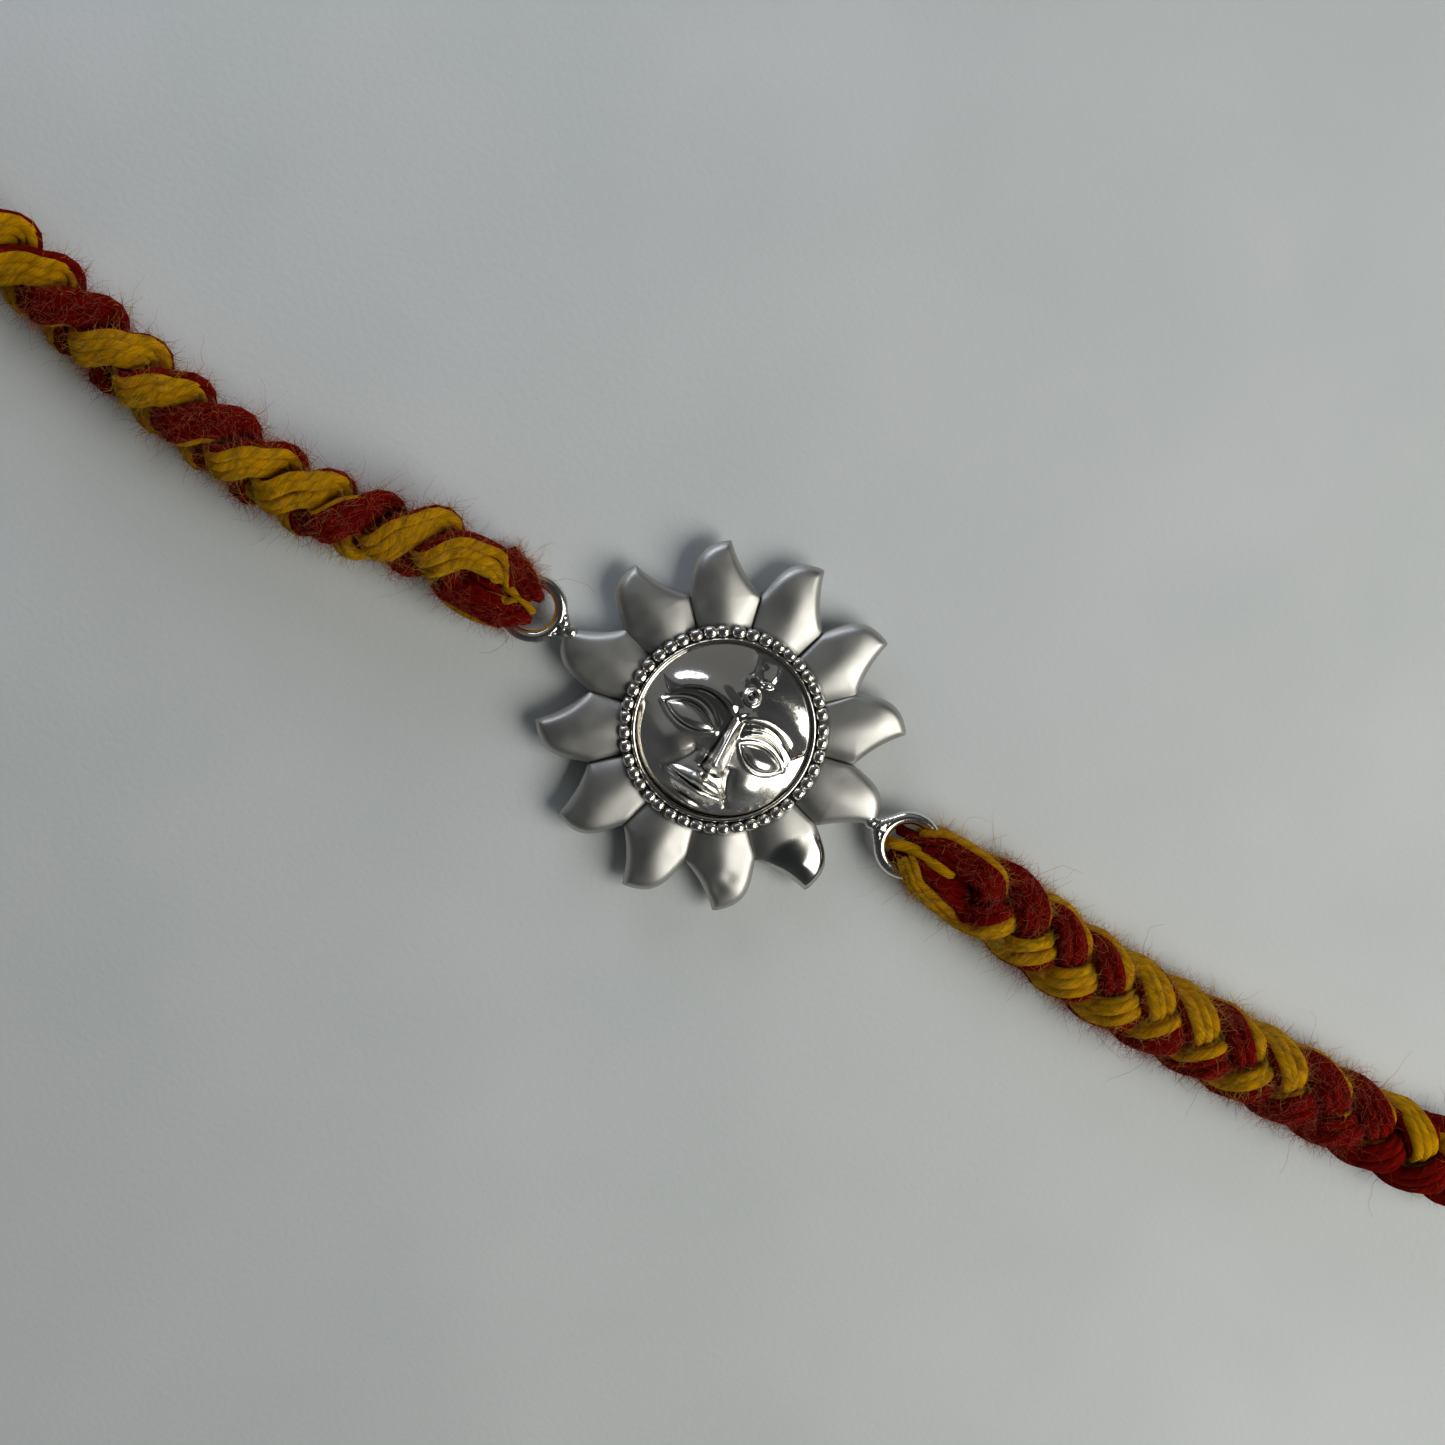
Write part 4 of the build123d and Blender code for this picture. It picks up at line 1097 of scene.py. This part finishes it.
class Arm:
    """The line that one arm follows, and the plait round it."""

    def __init__(self, side):
        self.side = side
        self.sign = 1 if side == "right" else -1
        self.forward = Vector((self.sign, 0, 0))
        self.rolls = ARM_ROLLS[side]
        reach = RING_X + RING_CENTRE_RADIUS * math.cos(math.radians(LOOP_ANGLE)) + LEAD_IN
        turn = math.radians(SLEEVE_TURN)
        self.sleeve_axis = Vector((math.cos(turn), math.sin(turn), 0)) * self.sign
        mouth_place = Vector((*SLEEVE_CENTRE, 0)) + self.sleeve_axis * (SLEEVE_LENGTH / 2)
        points = [self.forward * (reach + shift * END_LEAD) for shift in (-1, 0, 1)]
        points += [Vector((*point, 0)) for point in ARM_ROUTES[side]]
        points += [mouth_place + self.sleeve_axis * (shift * END_LEAD) for shift in (1, 0, -1)]
        self.line = Line(points)
        self.length = self.line.length
        # an odd number of twelfths of a turn ends the three strands as a triangle in the sleeve
        turns = self.length / (STITCH_PITCH * 3)
        self.full_steps = 2 * round((turns - 0.5) * 6 - 0.5) + 1
        self.period = self.length / (self.full_steps / 12 + 0.5)

    def rows(self):
        """Distance, phase past the start and fullness of each section of the plait."""
        count = self.full_steps * SECTIONS_A_PERIOD // 12
        step = self.period / SECTIONS_A_PERIOD
        rows = [(i * step, 2 * math.pi * i / SECTIONS_A_PERIOD, 1.0) for i in range(count + 1)]
        full_length, full_phase, _ = rows[-1]
        for i in range(1, CLOSING_SECTIONS + 1):
            share = i / CLOSING_SECTIONS
            phase = full_phase + math.pi * (share - share * share / 2)
            rows.append((full_length + self.period / 2 * share, phase, 1 - smooth(share)))
        return rows

    def frame_at(self, distance):
        """Middle of the plait, its across and up directions."""
        middle, along = self.line.at(distance)
        roll = look_up(self.rolls, distance / self.length)
        settle = smooth((distance - self.length + self.period) / self.period)
        side = UP.cross(along)
        turn = math.radians(roll)
        across = side * math.cos(turn) + UP * math.sin(turn)
        above = UP * math.cos(turn) - side * math.sin(turn)
        height = blend(rest_height(roll), SLEEVE_BORE + SLEEVE_WALL, settle)
        return middle + UP * height, across, above

    def plait_stations(self, start_phase):
        """Sections of one strand from the first full stitch into the sleeve."""
        rows = self.rows()
        frames = [self.frame_at(distance) for distance, _, _ in rows]
        centres = []
        for (_, phase, fullness), (middle, across, above) in zip(rows, frames):
            shift, rise = strand_offset(phase + math.radians(start_phase), fullness)
            centres.append(middle + across * shift + above * rise)
        stations = []
        for i, (distance, phase, fullness) in enumerate(rows):
            along = centres[min(i + 1, len(rows) - 1)] - centres[max(i - 1, 0)]
            lean = LEAN * math.sin(phase + math.radians(start_phase)) * fullness
            _, across, above = frames[i]
            normal = above * math.cos(lean) + across * math.sin(lean)
            stations.append(Station(centres[i], along, normal,
                                    blend(SLEEVE_STRAND, STRAND_WIDTH, fullness**2),
                                    blend(SLEEVE_STRAND, STRAND_THICKNESS, fullness**2), distance,
                                    frames[i][0]))
        last = stations[-1]
        for share in (0.5, 1.0):
            centre = last.centre - self.sleeve_axis * ((SLEEVE_LENGTH / 2 - END_GAP) * share)
            stations.append(Station(centre, -self.sleeve_axis, last.thin, SLEEVE_STRAND, SLEEVE_STRAND,
                                    self.length, last.middle))
        return stations

    def outward(self, loop_angle):
        """Direction from the ring's middle to where a strand crosses its wire."""
        angle = math.radians(loop_angle)
        return self.forward * math.cos(angle) + UP.cross(self.forward) * math.sin(angle)

    def ring_station(self, loop_angle, turn, sign=1):
        """Section of a strand that goes round the ring's wire."""
        outward = self.outward(loop_angle)
        wire = self.forward * RING_X + UP * RING_Z + outward * RING_CENTRE_RADIUS
        angle = math.radians(turn)
        normal = outward * math.cos(angle) + UP * math.sin(angle)
        along = outward * math.sin(angle) - UP * math.cos(angle)
        centre = wire + normal * LOOP_RADIUS
        return Station(centre, along * sign, normal * sign, LOOP_WIDTH, LOOP_THICKNESS)

    def loop_stations(self, part):
        """Sections of a strand in the ring, up to where it sets off along the arm."""
        half_gap = math.degrees(LOOP_GAP / 2 / LOOP_RADIUS)
        if part == "under":
            turns = np.linspace(180 + half_gap, 270, LOOP_SECTIONS)
            return [self.ring_station(LOOP_ANGLE, turn, -1) for turn in turns]
        if part == "over":
            turns = np.linspace(180 - half_gap, 90, LOOP_SECTIONS)
            return [self.ring_station(LOOP_ANGLE, turn) for turn in turns]
        # the edge strand starts with its tail and goes half round the wire
        first = self.ring_station(-LOOP_ANGLE, 270)
        stations = []
        for share in (1.0, 0.75, 0.5, 0.25):
            centre = first.centre + self.outward(-LOOP_ANGLE) * (TAIL_LENGTH * share)
            stations.append(Station(centre, first.along, first.thin, LOOP_WIDTH, LOOP_THICKNESS))
        turns = np.linspace(270, 90, 2 * LOOP_SECTIONS - 1)
        return stations + [self.ring_station(-LOOP_ANGLE, turn) for turn in turns]

    def lead_stations(self, start, end):
        """Sections of a strand between the ring and the first full stitch."""
        reach = (end.centre - start.centre).length
        start_pull = start.along * (reach * LEAD_PULL)
        end_pull = end.along * (reach * LEAD_PULL)
        stations = []
        for i in range(1, LEAD_SECTIONS):
            t = i / LEAD_SECTIONS
            place, heading = pulled_place(start.centre, start_pull, end.centre, end_pull, t)
            thickness = blend(LOOP_THICKNESS, STRAND_THICKNESS, t)
            place.z = max(place.z, thickness / 2 + LEAD_LIFT)
            stations.append(Station(place, heading, blend(start.thin, end.thin, t),
                                    blend(LOOP_WIDTH, STRAND_WIDTH, t), thickness))
        return stations

    def strand_stations(self, part):
        """Sections of one whole strand, from the ring to the sleeve."""
        plait = self.plait_stations(STRAND_PHASES[part])
        # sections lie 0.3 mm apart in the first 50 mm and 0.45 mm apart further on
        near = sum(station.distance < 50 for station in plait) // 6 * 6
        plait = plait[:near:2] + plait[near::3] + plait[-1:]
        loop = self.loop_stations(part)
        return loop + self.lead_stations(loop[-1], plait[0]) + plait


def up_angle(station):
    """Angle in a strand's section that faces up."""
    return math.degrees(math.atan2(UP.dot(station.wide), UP.dot(station.thin)))


def stitch_keys(arm, part, stations, leaving):
    """Station number and yarn angle at each place where the strand shows on top."""
    # the flat right arm shows a strand twice a turn, the left one on its side shows it once
    first, step = (135, 180) if arm.side == "right" else (270, 360)
    facings = FACINGS[(arm.side, part)]
    distances = [station.distance for station in stations]
    keys = []
    distance = 0.0
    number = 0
    while distance <= arm.length:
        distance = (first + step * number - STRAND_PHASES[part]) / 360 * arm.period
        number += 1
        if -0.5 <= distance <= arm.length:
            place = min(max(bisect(distances, distance), leaving), len(stations) - 1)
            keys.append((place, up_angle(stations[place]) + facings[len(keys) % len(facings)]))
    return keys


def lead_keys(arm, part, stations, leaving, first_key):
    """The same from the ring to a little before the first stitch."""
    place, angle = first_key
    ring_angle = RING_FACINGS.get((arm.side, part), angle)
    turned = place - TURNING_SECTIONS
    if arm.side == "right":
        return [(0, ring_angle), (turned, ring_angle)]
    # the end of the edge strand's tail is turned over
    keys = [(0, ring_angle - 180 if part == "edge" else ring_angle), (LOOP_SECTIONS - 1, ring_angle)]
    for place in range(max(leaving - 12, LOOP_SECTIONS), turned - 4, 4):
        keys.append((place, up_angle(stations[place]) + LEAD_FACING))
    keys.append((turned, up_angle(stations[turned]) + FACINGS[(arm.side, part)][0]))
    return keys


def facing_keys(arm, part, stations):
    """Station number and yarn angle wherever these are set, each turned the short way from the last."""
    leaving = max(i for i, station in enumerate(stations) if station.distance == 0.0)
    stitches = stitch_keys(arm, part, stations, leaving)
    keys = lead_keys(arm, part, stations, leaving, stitches[0]) + stitches
    unwound = keys[:1]
    for place, angle in keys[1:]:
        angle -= 360 * round((angle - unwound[-1][1]) / 360)
        unwound.append((place, angle))
    return unwound


def wander(chance, count, knots, amount):
    """A slow seeded random change along a yarn."""
    values = [chance.gauss(0, amount) for _ in range(knots)]
    return np.interp(np.linspace(0, knots - 1, count), np.arange(knots), values)


def yarn_turns(keys, count):
    """The yarns' angle at each station, eased from key to key."""
    turn = np.interp(np.arange(count), [k[0] for k in keys], [k[1] for k in keys])
    for (first, a), (last, b) in zip(keys, keys[1:]):
        for i in range(first, last):
            turn[i] = blend(a, b, smooth((i - first) / (last - first)))
    return turn


def yarn_path(stations, turn, own, side, chance):
    """Points and radii of the yarn that lies at its own angle round a strand."""
    count = len(stations)
    knots = max(count // 8, 3)
    drift = wander(chance, count, knots, amount=10.0)
    swell = 1 + wander(chance, count, knots * 2, amount=0.07)
    pull = 1 + wander(chance, count, knots, amount=0.06)
    points = np.zeros((count, 3))
    radii = np.zeros(count)
    for i, station in enumerate(stations):
        # the ends at the ring draw together like a brush
        gather = blend(0.3, 1.0, smooth(i / 4))
        radius = YARN_SHARE * station.width * swell[i] * gather
        angle = math.radians(turn[i] + own + drift[i])
        loop = smooth((STRAND_WIDTH - station.width) / (STRAND_WIDTH - LOOP_WIDTH))
        full_wide, full_thin = (blend(a, b, loop) for a, b in zip(STRAND_FULLNESS[side], LOOP_FULLNESS))
        out_wide = (station.width / 2 * full_wide - radius) * math.sin(angle) * pull[i]
        out_thin = (station.thickness / 2 * full_thin - radius) * math.cos(angle) * pull[i]
        points[i] = station.centre + (station.wide * out_wide + station.thin * out_thin) * gather
        # where a yarn rests on the paper it sinks in by a little of its radius
        points[i][2] = max(points[i][2], radius * 0.92)
        radii[i] = radius
    return points, radii


def yarn_paths(stations, turn, side, chance):
    """The yarns of a strand: for each colour their points and radii."""
    paths = {"yellow": [], "red": []}
    for number in range(YARN_COUNT):
        own = (number * 360 // YARN_COUNT + 180) % 360 - 180
        colour = "yellow" if own in YELLOW_YARNS[side] else "red"
        paths[colour].append(yarn_path(stations, turn, own, side, chance))
    return paths


def hole_route(colour, start, middle, end, top, reach):
    """Points that lead a yarn up through the ring's hole, over its wire and down into the plait."""
    x, y = start
    route = [(x, y, 0.1), (x, y, 0.5), (x, y, 1.0), (x + 0.25, blend(y, middle[1], 0.2), top - 1.35),
             (*middle, top - 0.85), (1.9, blend(middle[1], end[1], 0.5), top - 0.15), (*end, top)]
    last_top = 2.9 if colour == "red" else top
    for share in (0.25, 0.5, 0.75, 1.0):
        height = blend(last_top, 1.3, smooth(share))
        route.append((blend(end[0], reach, share), end[1] * (1 - 0.6 * share), height))
    return route


def hole_yarns(arm, chance):
    """The yarns that come up through the ring's hole and fill the room between the strands."""
    paths = {"yellow": [], "red": []}
    side = UP.cross(arm.forward)
    for colour, *places, radius in HOLE_YARNS[arm.side]:
        route = hole_route(colour, *places)
        line = Line([arm.forward * (RING_X + ahead) + side * aside + UP * z for ahead, aside, z in route])
        count = int(line.length / HOLE_YARN_STEP)
        points = np.array([line.at(line.length * i / (count - 1))[0] for i in range(count)])
        points[:, 1] += wander(chance, count, knots=6, amount=0.04)
        swell = 1 + wander(chance, count, knots=count // 3, amount=0.06)
        paths[colour].append((points, radius * swell))
    return paths


def strand_pieces(materials):
    """Every strand as its yellow and its red yarns; returns the yarns for the loose fibres."""
    chance = random.Random(21)
    every = []
    for side in ("right", "left"):
        arm = Arm(side)
        for part in STRAND_PHASES:
            stations = arm.strand_stations(part)
            turn = yarn_turns(facing_keys(arm, part, stations), len(stations))
            paths = yarn_paths(stations, turn, side, chance)
            for colour, rows in paths.items():
                for points, radii in rows:
                    steps = np.linalg.norm(np.diff(points, axis=0), axis=1)
                    every.append((side, colour, points, radii, stations, list(np.cumsum(steps))))
            if part == "under":
                for colour, rows in hole_yarns(arm, chance).items():
                    paths[colour] += rows
            node = f"{side}_strand_{part}"
            for colour, rows in paths.items():
                mesh = thread_mesh(rows, sides=6)
                finish_piece(mesh, f"{node}_{colour}_yarns", materials[colour], [node])
    return every


def hair_path(chance, root, heading, length, steps, curl):
    """A bent hair that stays above the paper."""
    place = Vector(root)
    hair = [Vector(place)]
    for _ in range(steps):
        bend = Vector([chance.gauss(0, 0.28) for _ in range(3)])
        heading = (heading + curl / steps + bend).normalized()
        place = place + heading * (length / steps)
        if place.z < PAPER_CLEARANCE:
            place.z = PAPER_CLEARANCE
            heading.z = abs(heading.z) * 0.2
        hair.append(Vector(place))
    return np.array(hair)


def fibre(chance, points, radii, stations, lengths):
    """One loose fibre of a yarn, or nothing where the yarn is hidden in its strand."""
    # the handled stretch by the sun is the hairiest
    stretch = (0.0, HAIRY_STRETCH) if chance.random() < HAIRY_SHARE else (HAIRY_STRETCH, lengths[-16])
    i = max(bisect(lengths, chance.uniform(*stretch)), 1)
    place = Vector(points[i])
    away = place - stations[i].middle
    if (place - stations[i].centre).dot(away) < 0.02:
        return None
    along = Vector(points[i + 1] - points[i - 1]).normalized()
    out = away.normalized() + Vector([chance.gauss(0, 0.45) for _ in range(3)])
    out = (out - along * out.dot(along)).normalized()
    aside = along.cross(out)
    kind = chance.random()
    standing = out * chance.uniform(0.3, 1.0) + along * chance.uniform(-1, 1) + aside * chance.gauss(0, 0.4)
    lying = along * chance.choice((-1, 1)) + aside * chance.gauss(0, 0.55) + out * chance.uniform(0.0, 0.22)
    reach, steps, thick = next(row[1:] for row in FIBRE_KINDS if kind < row[0])
    heading = standing if kind < STANDING_SHARE else lying
    length = chance.uniform(*reach)
    curl = Vector([chance.gauss(0, 1.0) for _ in range(3)])
    hair = hair_path(chance, place + out * (radii[i] * 0.92), heading.normalized(), length, steps, curl)
    return hair, np.linspace(thick, thick * 0.45, len(hair))


def loose_fibres(yarns, materials):
    """Short fuzz all over the plait and a few long stray hairs."""
    chance = random.Random(33)
    for side in ("right", "left"):
        for colour, material in materials.items():
            own = [yarn[2:] for yarn in yarns if yarn[:2] == (side, colour)]
            rows = []
            while len(rows) < FIBRE_COUNTS[colour]:
                row = fibre(chance, *chance.choice(own))
                if row:
                    rows.append(row)
            if (side, colour) == ("left", "red"):
                rows.append((np.array(STRAY_HAIR), np.linspace(0.013, 0.008, len(STRAY_HAIR))))
            mesh = thread_mesh(rows, sides=3)
            nodes = [f"{side}_strand_{part}" for part in STRAND_PHASES]
            finish_piece(mesh, f"{side}_{colour}_loose_fibres", material, nodes)


def wound_thread():
    """Twisted cotton thread wound tight: fine slanting plies, dull red, with painted shade between them."""
    material, tree, output = new_material("wound_cotton_thread")
    layer = add_node(tree, "ShaderNodeUVMap", uv_map="UVMap").outputs["UV"]
    parts = add_node(tree, "ShaderNodeSeparateXYZ", {"Vector": layer})
    _, ply = two_plies(tree, parts, 1.0)
    # painted shade: the colour runs from dark in the grooves between the plies to dull red on their crowns
    shade = add_node(tree, "ShaderNodeMapRange",
                     {"Value": ply, "From Min": -1.0, "From Max": 1.0, "To Min": 0.0, "To Max": 1.0})
    colour = add_node(tree, "ShaderNodeValToRGB", {"Fac": shade.outputs["Result"]},
                      [(0.0, linear("#4a0906")), (1.0, linear("#8a1a0f"))])
    plied = add_node(tree, "ShaderNodeBump", {"Height": ply, "Strength": 0.8, "Distance": 0.00003})
    shader = add_node(tree, "ShaderNodeBsdfPrincipled",
                      {"Base Color": colour.outputs["Color"], "Roughness": 0.75, "Specular IOR Level": 0.2,
                       "Normal": plied.outputs["Normal"]})
    tree.links.new(shader.outputs["BSDF"], output.inputs["Surface"])
    return material


def sleeve(material):
    """Thread wound round the six strand ends, over a tight first layer."""
    outer = SLEEVE_BORE + SLEEVE_WALL
    turn = math.radians(SLEEVE_TURN)
    axis = Vector((math.cos(turn), math.sin(turn), 0))
    side = UP.cross(axis)
    middle = Vector((*SLEEVE_CENTRE, outer))
    chance = random.Random(3)
    thread = WINDING_RADIUS
    paths = []
    # the first layer runs the whole length, and the second stops short of its ends
    for layer_radius, start, end in ((outer - thread * 2.4, -0.5, 0.5), (outer - thread, -0.46, 0.46)):
        length = SLEEVE_LENGTH * (end - start) - thread * 2
        turns = int(length / WINDING_PITCH)
        count = turns * WINDING_STEPS
        points = np.zeros((count + 1, 3))
        slip = wander(chance, count + 1, knots=turns, amount=0.03)
        for i in range(count + 1):
            angle = 2 * math.pi * i / WINDING_STEPS
            hold = min(i, count - i, WINDING_STEPS) / WINDING_STEPS
            place = start * SLEEVE_LENGTH + thread + length * i / count + slip[i] * hold
            outward = side * math.cos(angle) + UP * math.sin(angle)
            points[i] = middle + axis * place + outward * layer_radius
        paths.append((points, np.full(count + 1, thread)))
    mesh = thread_mesh(paths, sides=8)
    finish_piece(mesh, "closing_sleeve_winding", material, ["closing_sleeve"])


# Floor, lights and camera

def paper_floor():
    """Plain matt drawing paper with a faint tooth."""
    material, tree, output = new_material("uncoated_drawing_paper")
    place = add_node(tree, "ShaderNodeTexCoord").outputs["Object"]
    # tooth of about 0.4 mm
    tooth = add_node(tree, "ShaderNodeTexNoise", {"Vector": place, "Scale": 2400.0, "Detail": 3.0})
    # a very slight change of tone over some 17 mm
    tone = add_node(tree, "ShaderNodeTexNoise", {"Vector": place, "Scale": 60.0, "Detail": 2.0})
    colour = add_node(tree, "ShaderNodeValToRGB", {"Fac": tone.outputs["Fac"]},
                      [(0.3, linear("#d8dddd")), (0.7, linear("#dfe3e3"))])
    rough = add_node(tree, "ShaderNodeBump",
                     {"Height": tooth.outputs["Fac"], "Strength": 0.35, "Distance": 0.00006})
    shader = add_node(tree, "ShaderNodeBsdfPrincipled",
                      {"Base Color": colour.outputs["Color"], "Roughness": 0.9, "Specular IOR Level": 0.2,
                       "Normal": rough.outputs["Normal"]})
    tree.links.new(shader.outputs["BSDF"], output.inputs["Surface"])
    bm = bmesh.new()
    bmesh.ops.create_grid(bm, x_segments=2, y_segments=2, size=1.5)
    mesh = bpy.data.meshes.new("paper_floor")
    bm.to_mesh(mesh)
    bm.free()
    mesh.materials.append(material)
    floor = bpy.data.objects.new("paper_floor", mesh)
    bpy.context.scene.collection.objects.link(floor)


# Directions in the photograph: to its right and to its top, on the floor
PHOTO_RIGHT = Vector((0.8387, 0.5446, 0))
PHOTO_TOP = Vector((-0.5446, 0.8387, 0))
# The camera and the lights aim 1.5 mm above the floor, a little towards the photograph's top
AIM = Vector((SUN_MIDDLE.x, SUN_MIDDLE.y, 0.0015)) + PHOTO_TOP * 0.0004
CAMERA_DISTANCE = 0.170
VIEW_WIDTH = 96.0
SENSOR_WIDTH = 36.0


def from_photo(right, top, up):
    """A direction given in the photograph's own right and top, and up."""
    return (PHOTO_RIGHT * right + PHOTO_TOP * top + UP * up).normalized()


def soft_light(name, direction, distance, size, power, colour):
    """A square panel of light aimed at the sun."""
    data = bpy.data.lights.new(name, "AREA")
    data.shape = "RECTANGLE"
    data.size, data.size_y = size
    data.energy = power
    data.color = linear(colour)[:3]
    lamp = bpy.data.objects.new(name, data)
    lamp.location = AIM + direction * distance
    lamp.rotation_mode = "QUATERNION"
    lamp.rotation_quaternion = direction.to_track_quat("Z", "Y")
    bpy.context.scene.collection.objects.link(lamp)


def studio():
    """A dim room with a broad window at the lower right and softer light from the top."""
    world = bpy.data.worlds.new("dim_room")
    world.use_nodes = True
    tree = world.node_tree
    tree.nodes.clear()
    # the room is lighter low down and dark overhead, where the camera is held
    facing = add_node(tree, "ShaderNodeTexCoord").outputs["Generated"]
    height = add_node(tree, "ShaderNodeSeparateXYZ", {"Vector": facing}).outputs["Z"]
    tone = add_node(tree, "ShaderNodeValToRGB", {"Fac": height},
                    [(0.0, linear("#4c4e51")), (0.30, linear("#444648")), (0.60, linear("#38393b")),
                     (0.85, linear("#2e3032")), (1.0, linear("#2b2d2e"))])
    air = add_node(tree, "ShaderNodeBackground", {"Color": tone.outputs["Color"], "Strength": 1.0})
    add_node(tree, "ShaderNodeOutputWorld", {"Surface": air.outputs["Background"]})
    bpy.context.scene.world = world
    soft_light("window", from_photo(0.78, -0.36, 0.75), 0.30, (0.24, 0.20), 0.66, "#fffdf6")
    soft_light("far_wall", from_photo(-0.17, 0.66, 0.76), 0.60, (1.0, 0.5), 0.17, "#f2f2f0")
    soft_light("low_sky", from_photo(-0.30, 0.94, 0.32), 0.17, (0.14, 0.05), 0.085, "#e6eeff")


def photo_camera():
    """The camera at the photograph's angle: nearly overhead, its top towards the forehead's left."""
    back = from_photo(-0.10, 0.14, 1.0)
    data = bpy.data.cameras.new("photo_camera")
    data.sensor_width = SENSOR_WIDTH
    data.lens = SENSOR_WIDTH / (VIEW_WIDTH * MM) * CAMERA_DISTANCE
    data.clip_start = 0.01
    data.clip_end = 10.0
    camera = bpy.data.objects.new("photo_camera", data)
    side = PHOTO_TOP.cross(back).normalized()
    top = back.cross(side)
    turn = Matrix((side, top, back)).transposed().to_4x4()
    camera.matrix_world = Matrix.Translation(AIM + back * CAMERA_DISTANCE) @ turn
    bpy.context.scene.collection.objects.link(camera)
    bpy.context.scene.camera = camera


# The sun, the two arms and the sleeve, then what they lie in
polished = polished_silver()
sun_rays(satin_silver())
bead_rim(polished)
sun_face(polished)
jump_rings(drawn_silver())
solder_joints(solder_silver())
yarns = strand_pieces({
    "yellow": wool_yarn("yellow_dyed_wool", "#dc9f07", "#8b5d04", "#f4c41c", "#dca824"),
    "red": wool_yarn("red_dyed_wool", "#780a02", "#350300", "#9c1c08", "#8c1c08"),
})
loose_fibres(yarns, {
    "yellow": loose_fibre("yellow_loose_wool", "#a67d12", "#c9a94c"),
    "red": loose_fibre("red_loose_wool", "#8a200d", "#b4583e"),
})
sleeve(wound_thread())
paper_floor()
studio()
photo_camera()
bpy.context.scene.view_settings.view_transform = "Standard"
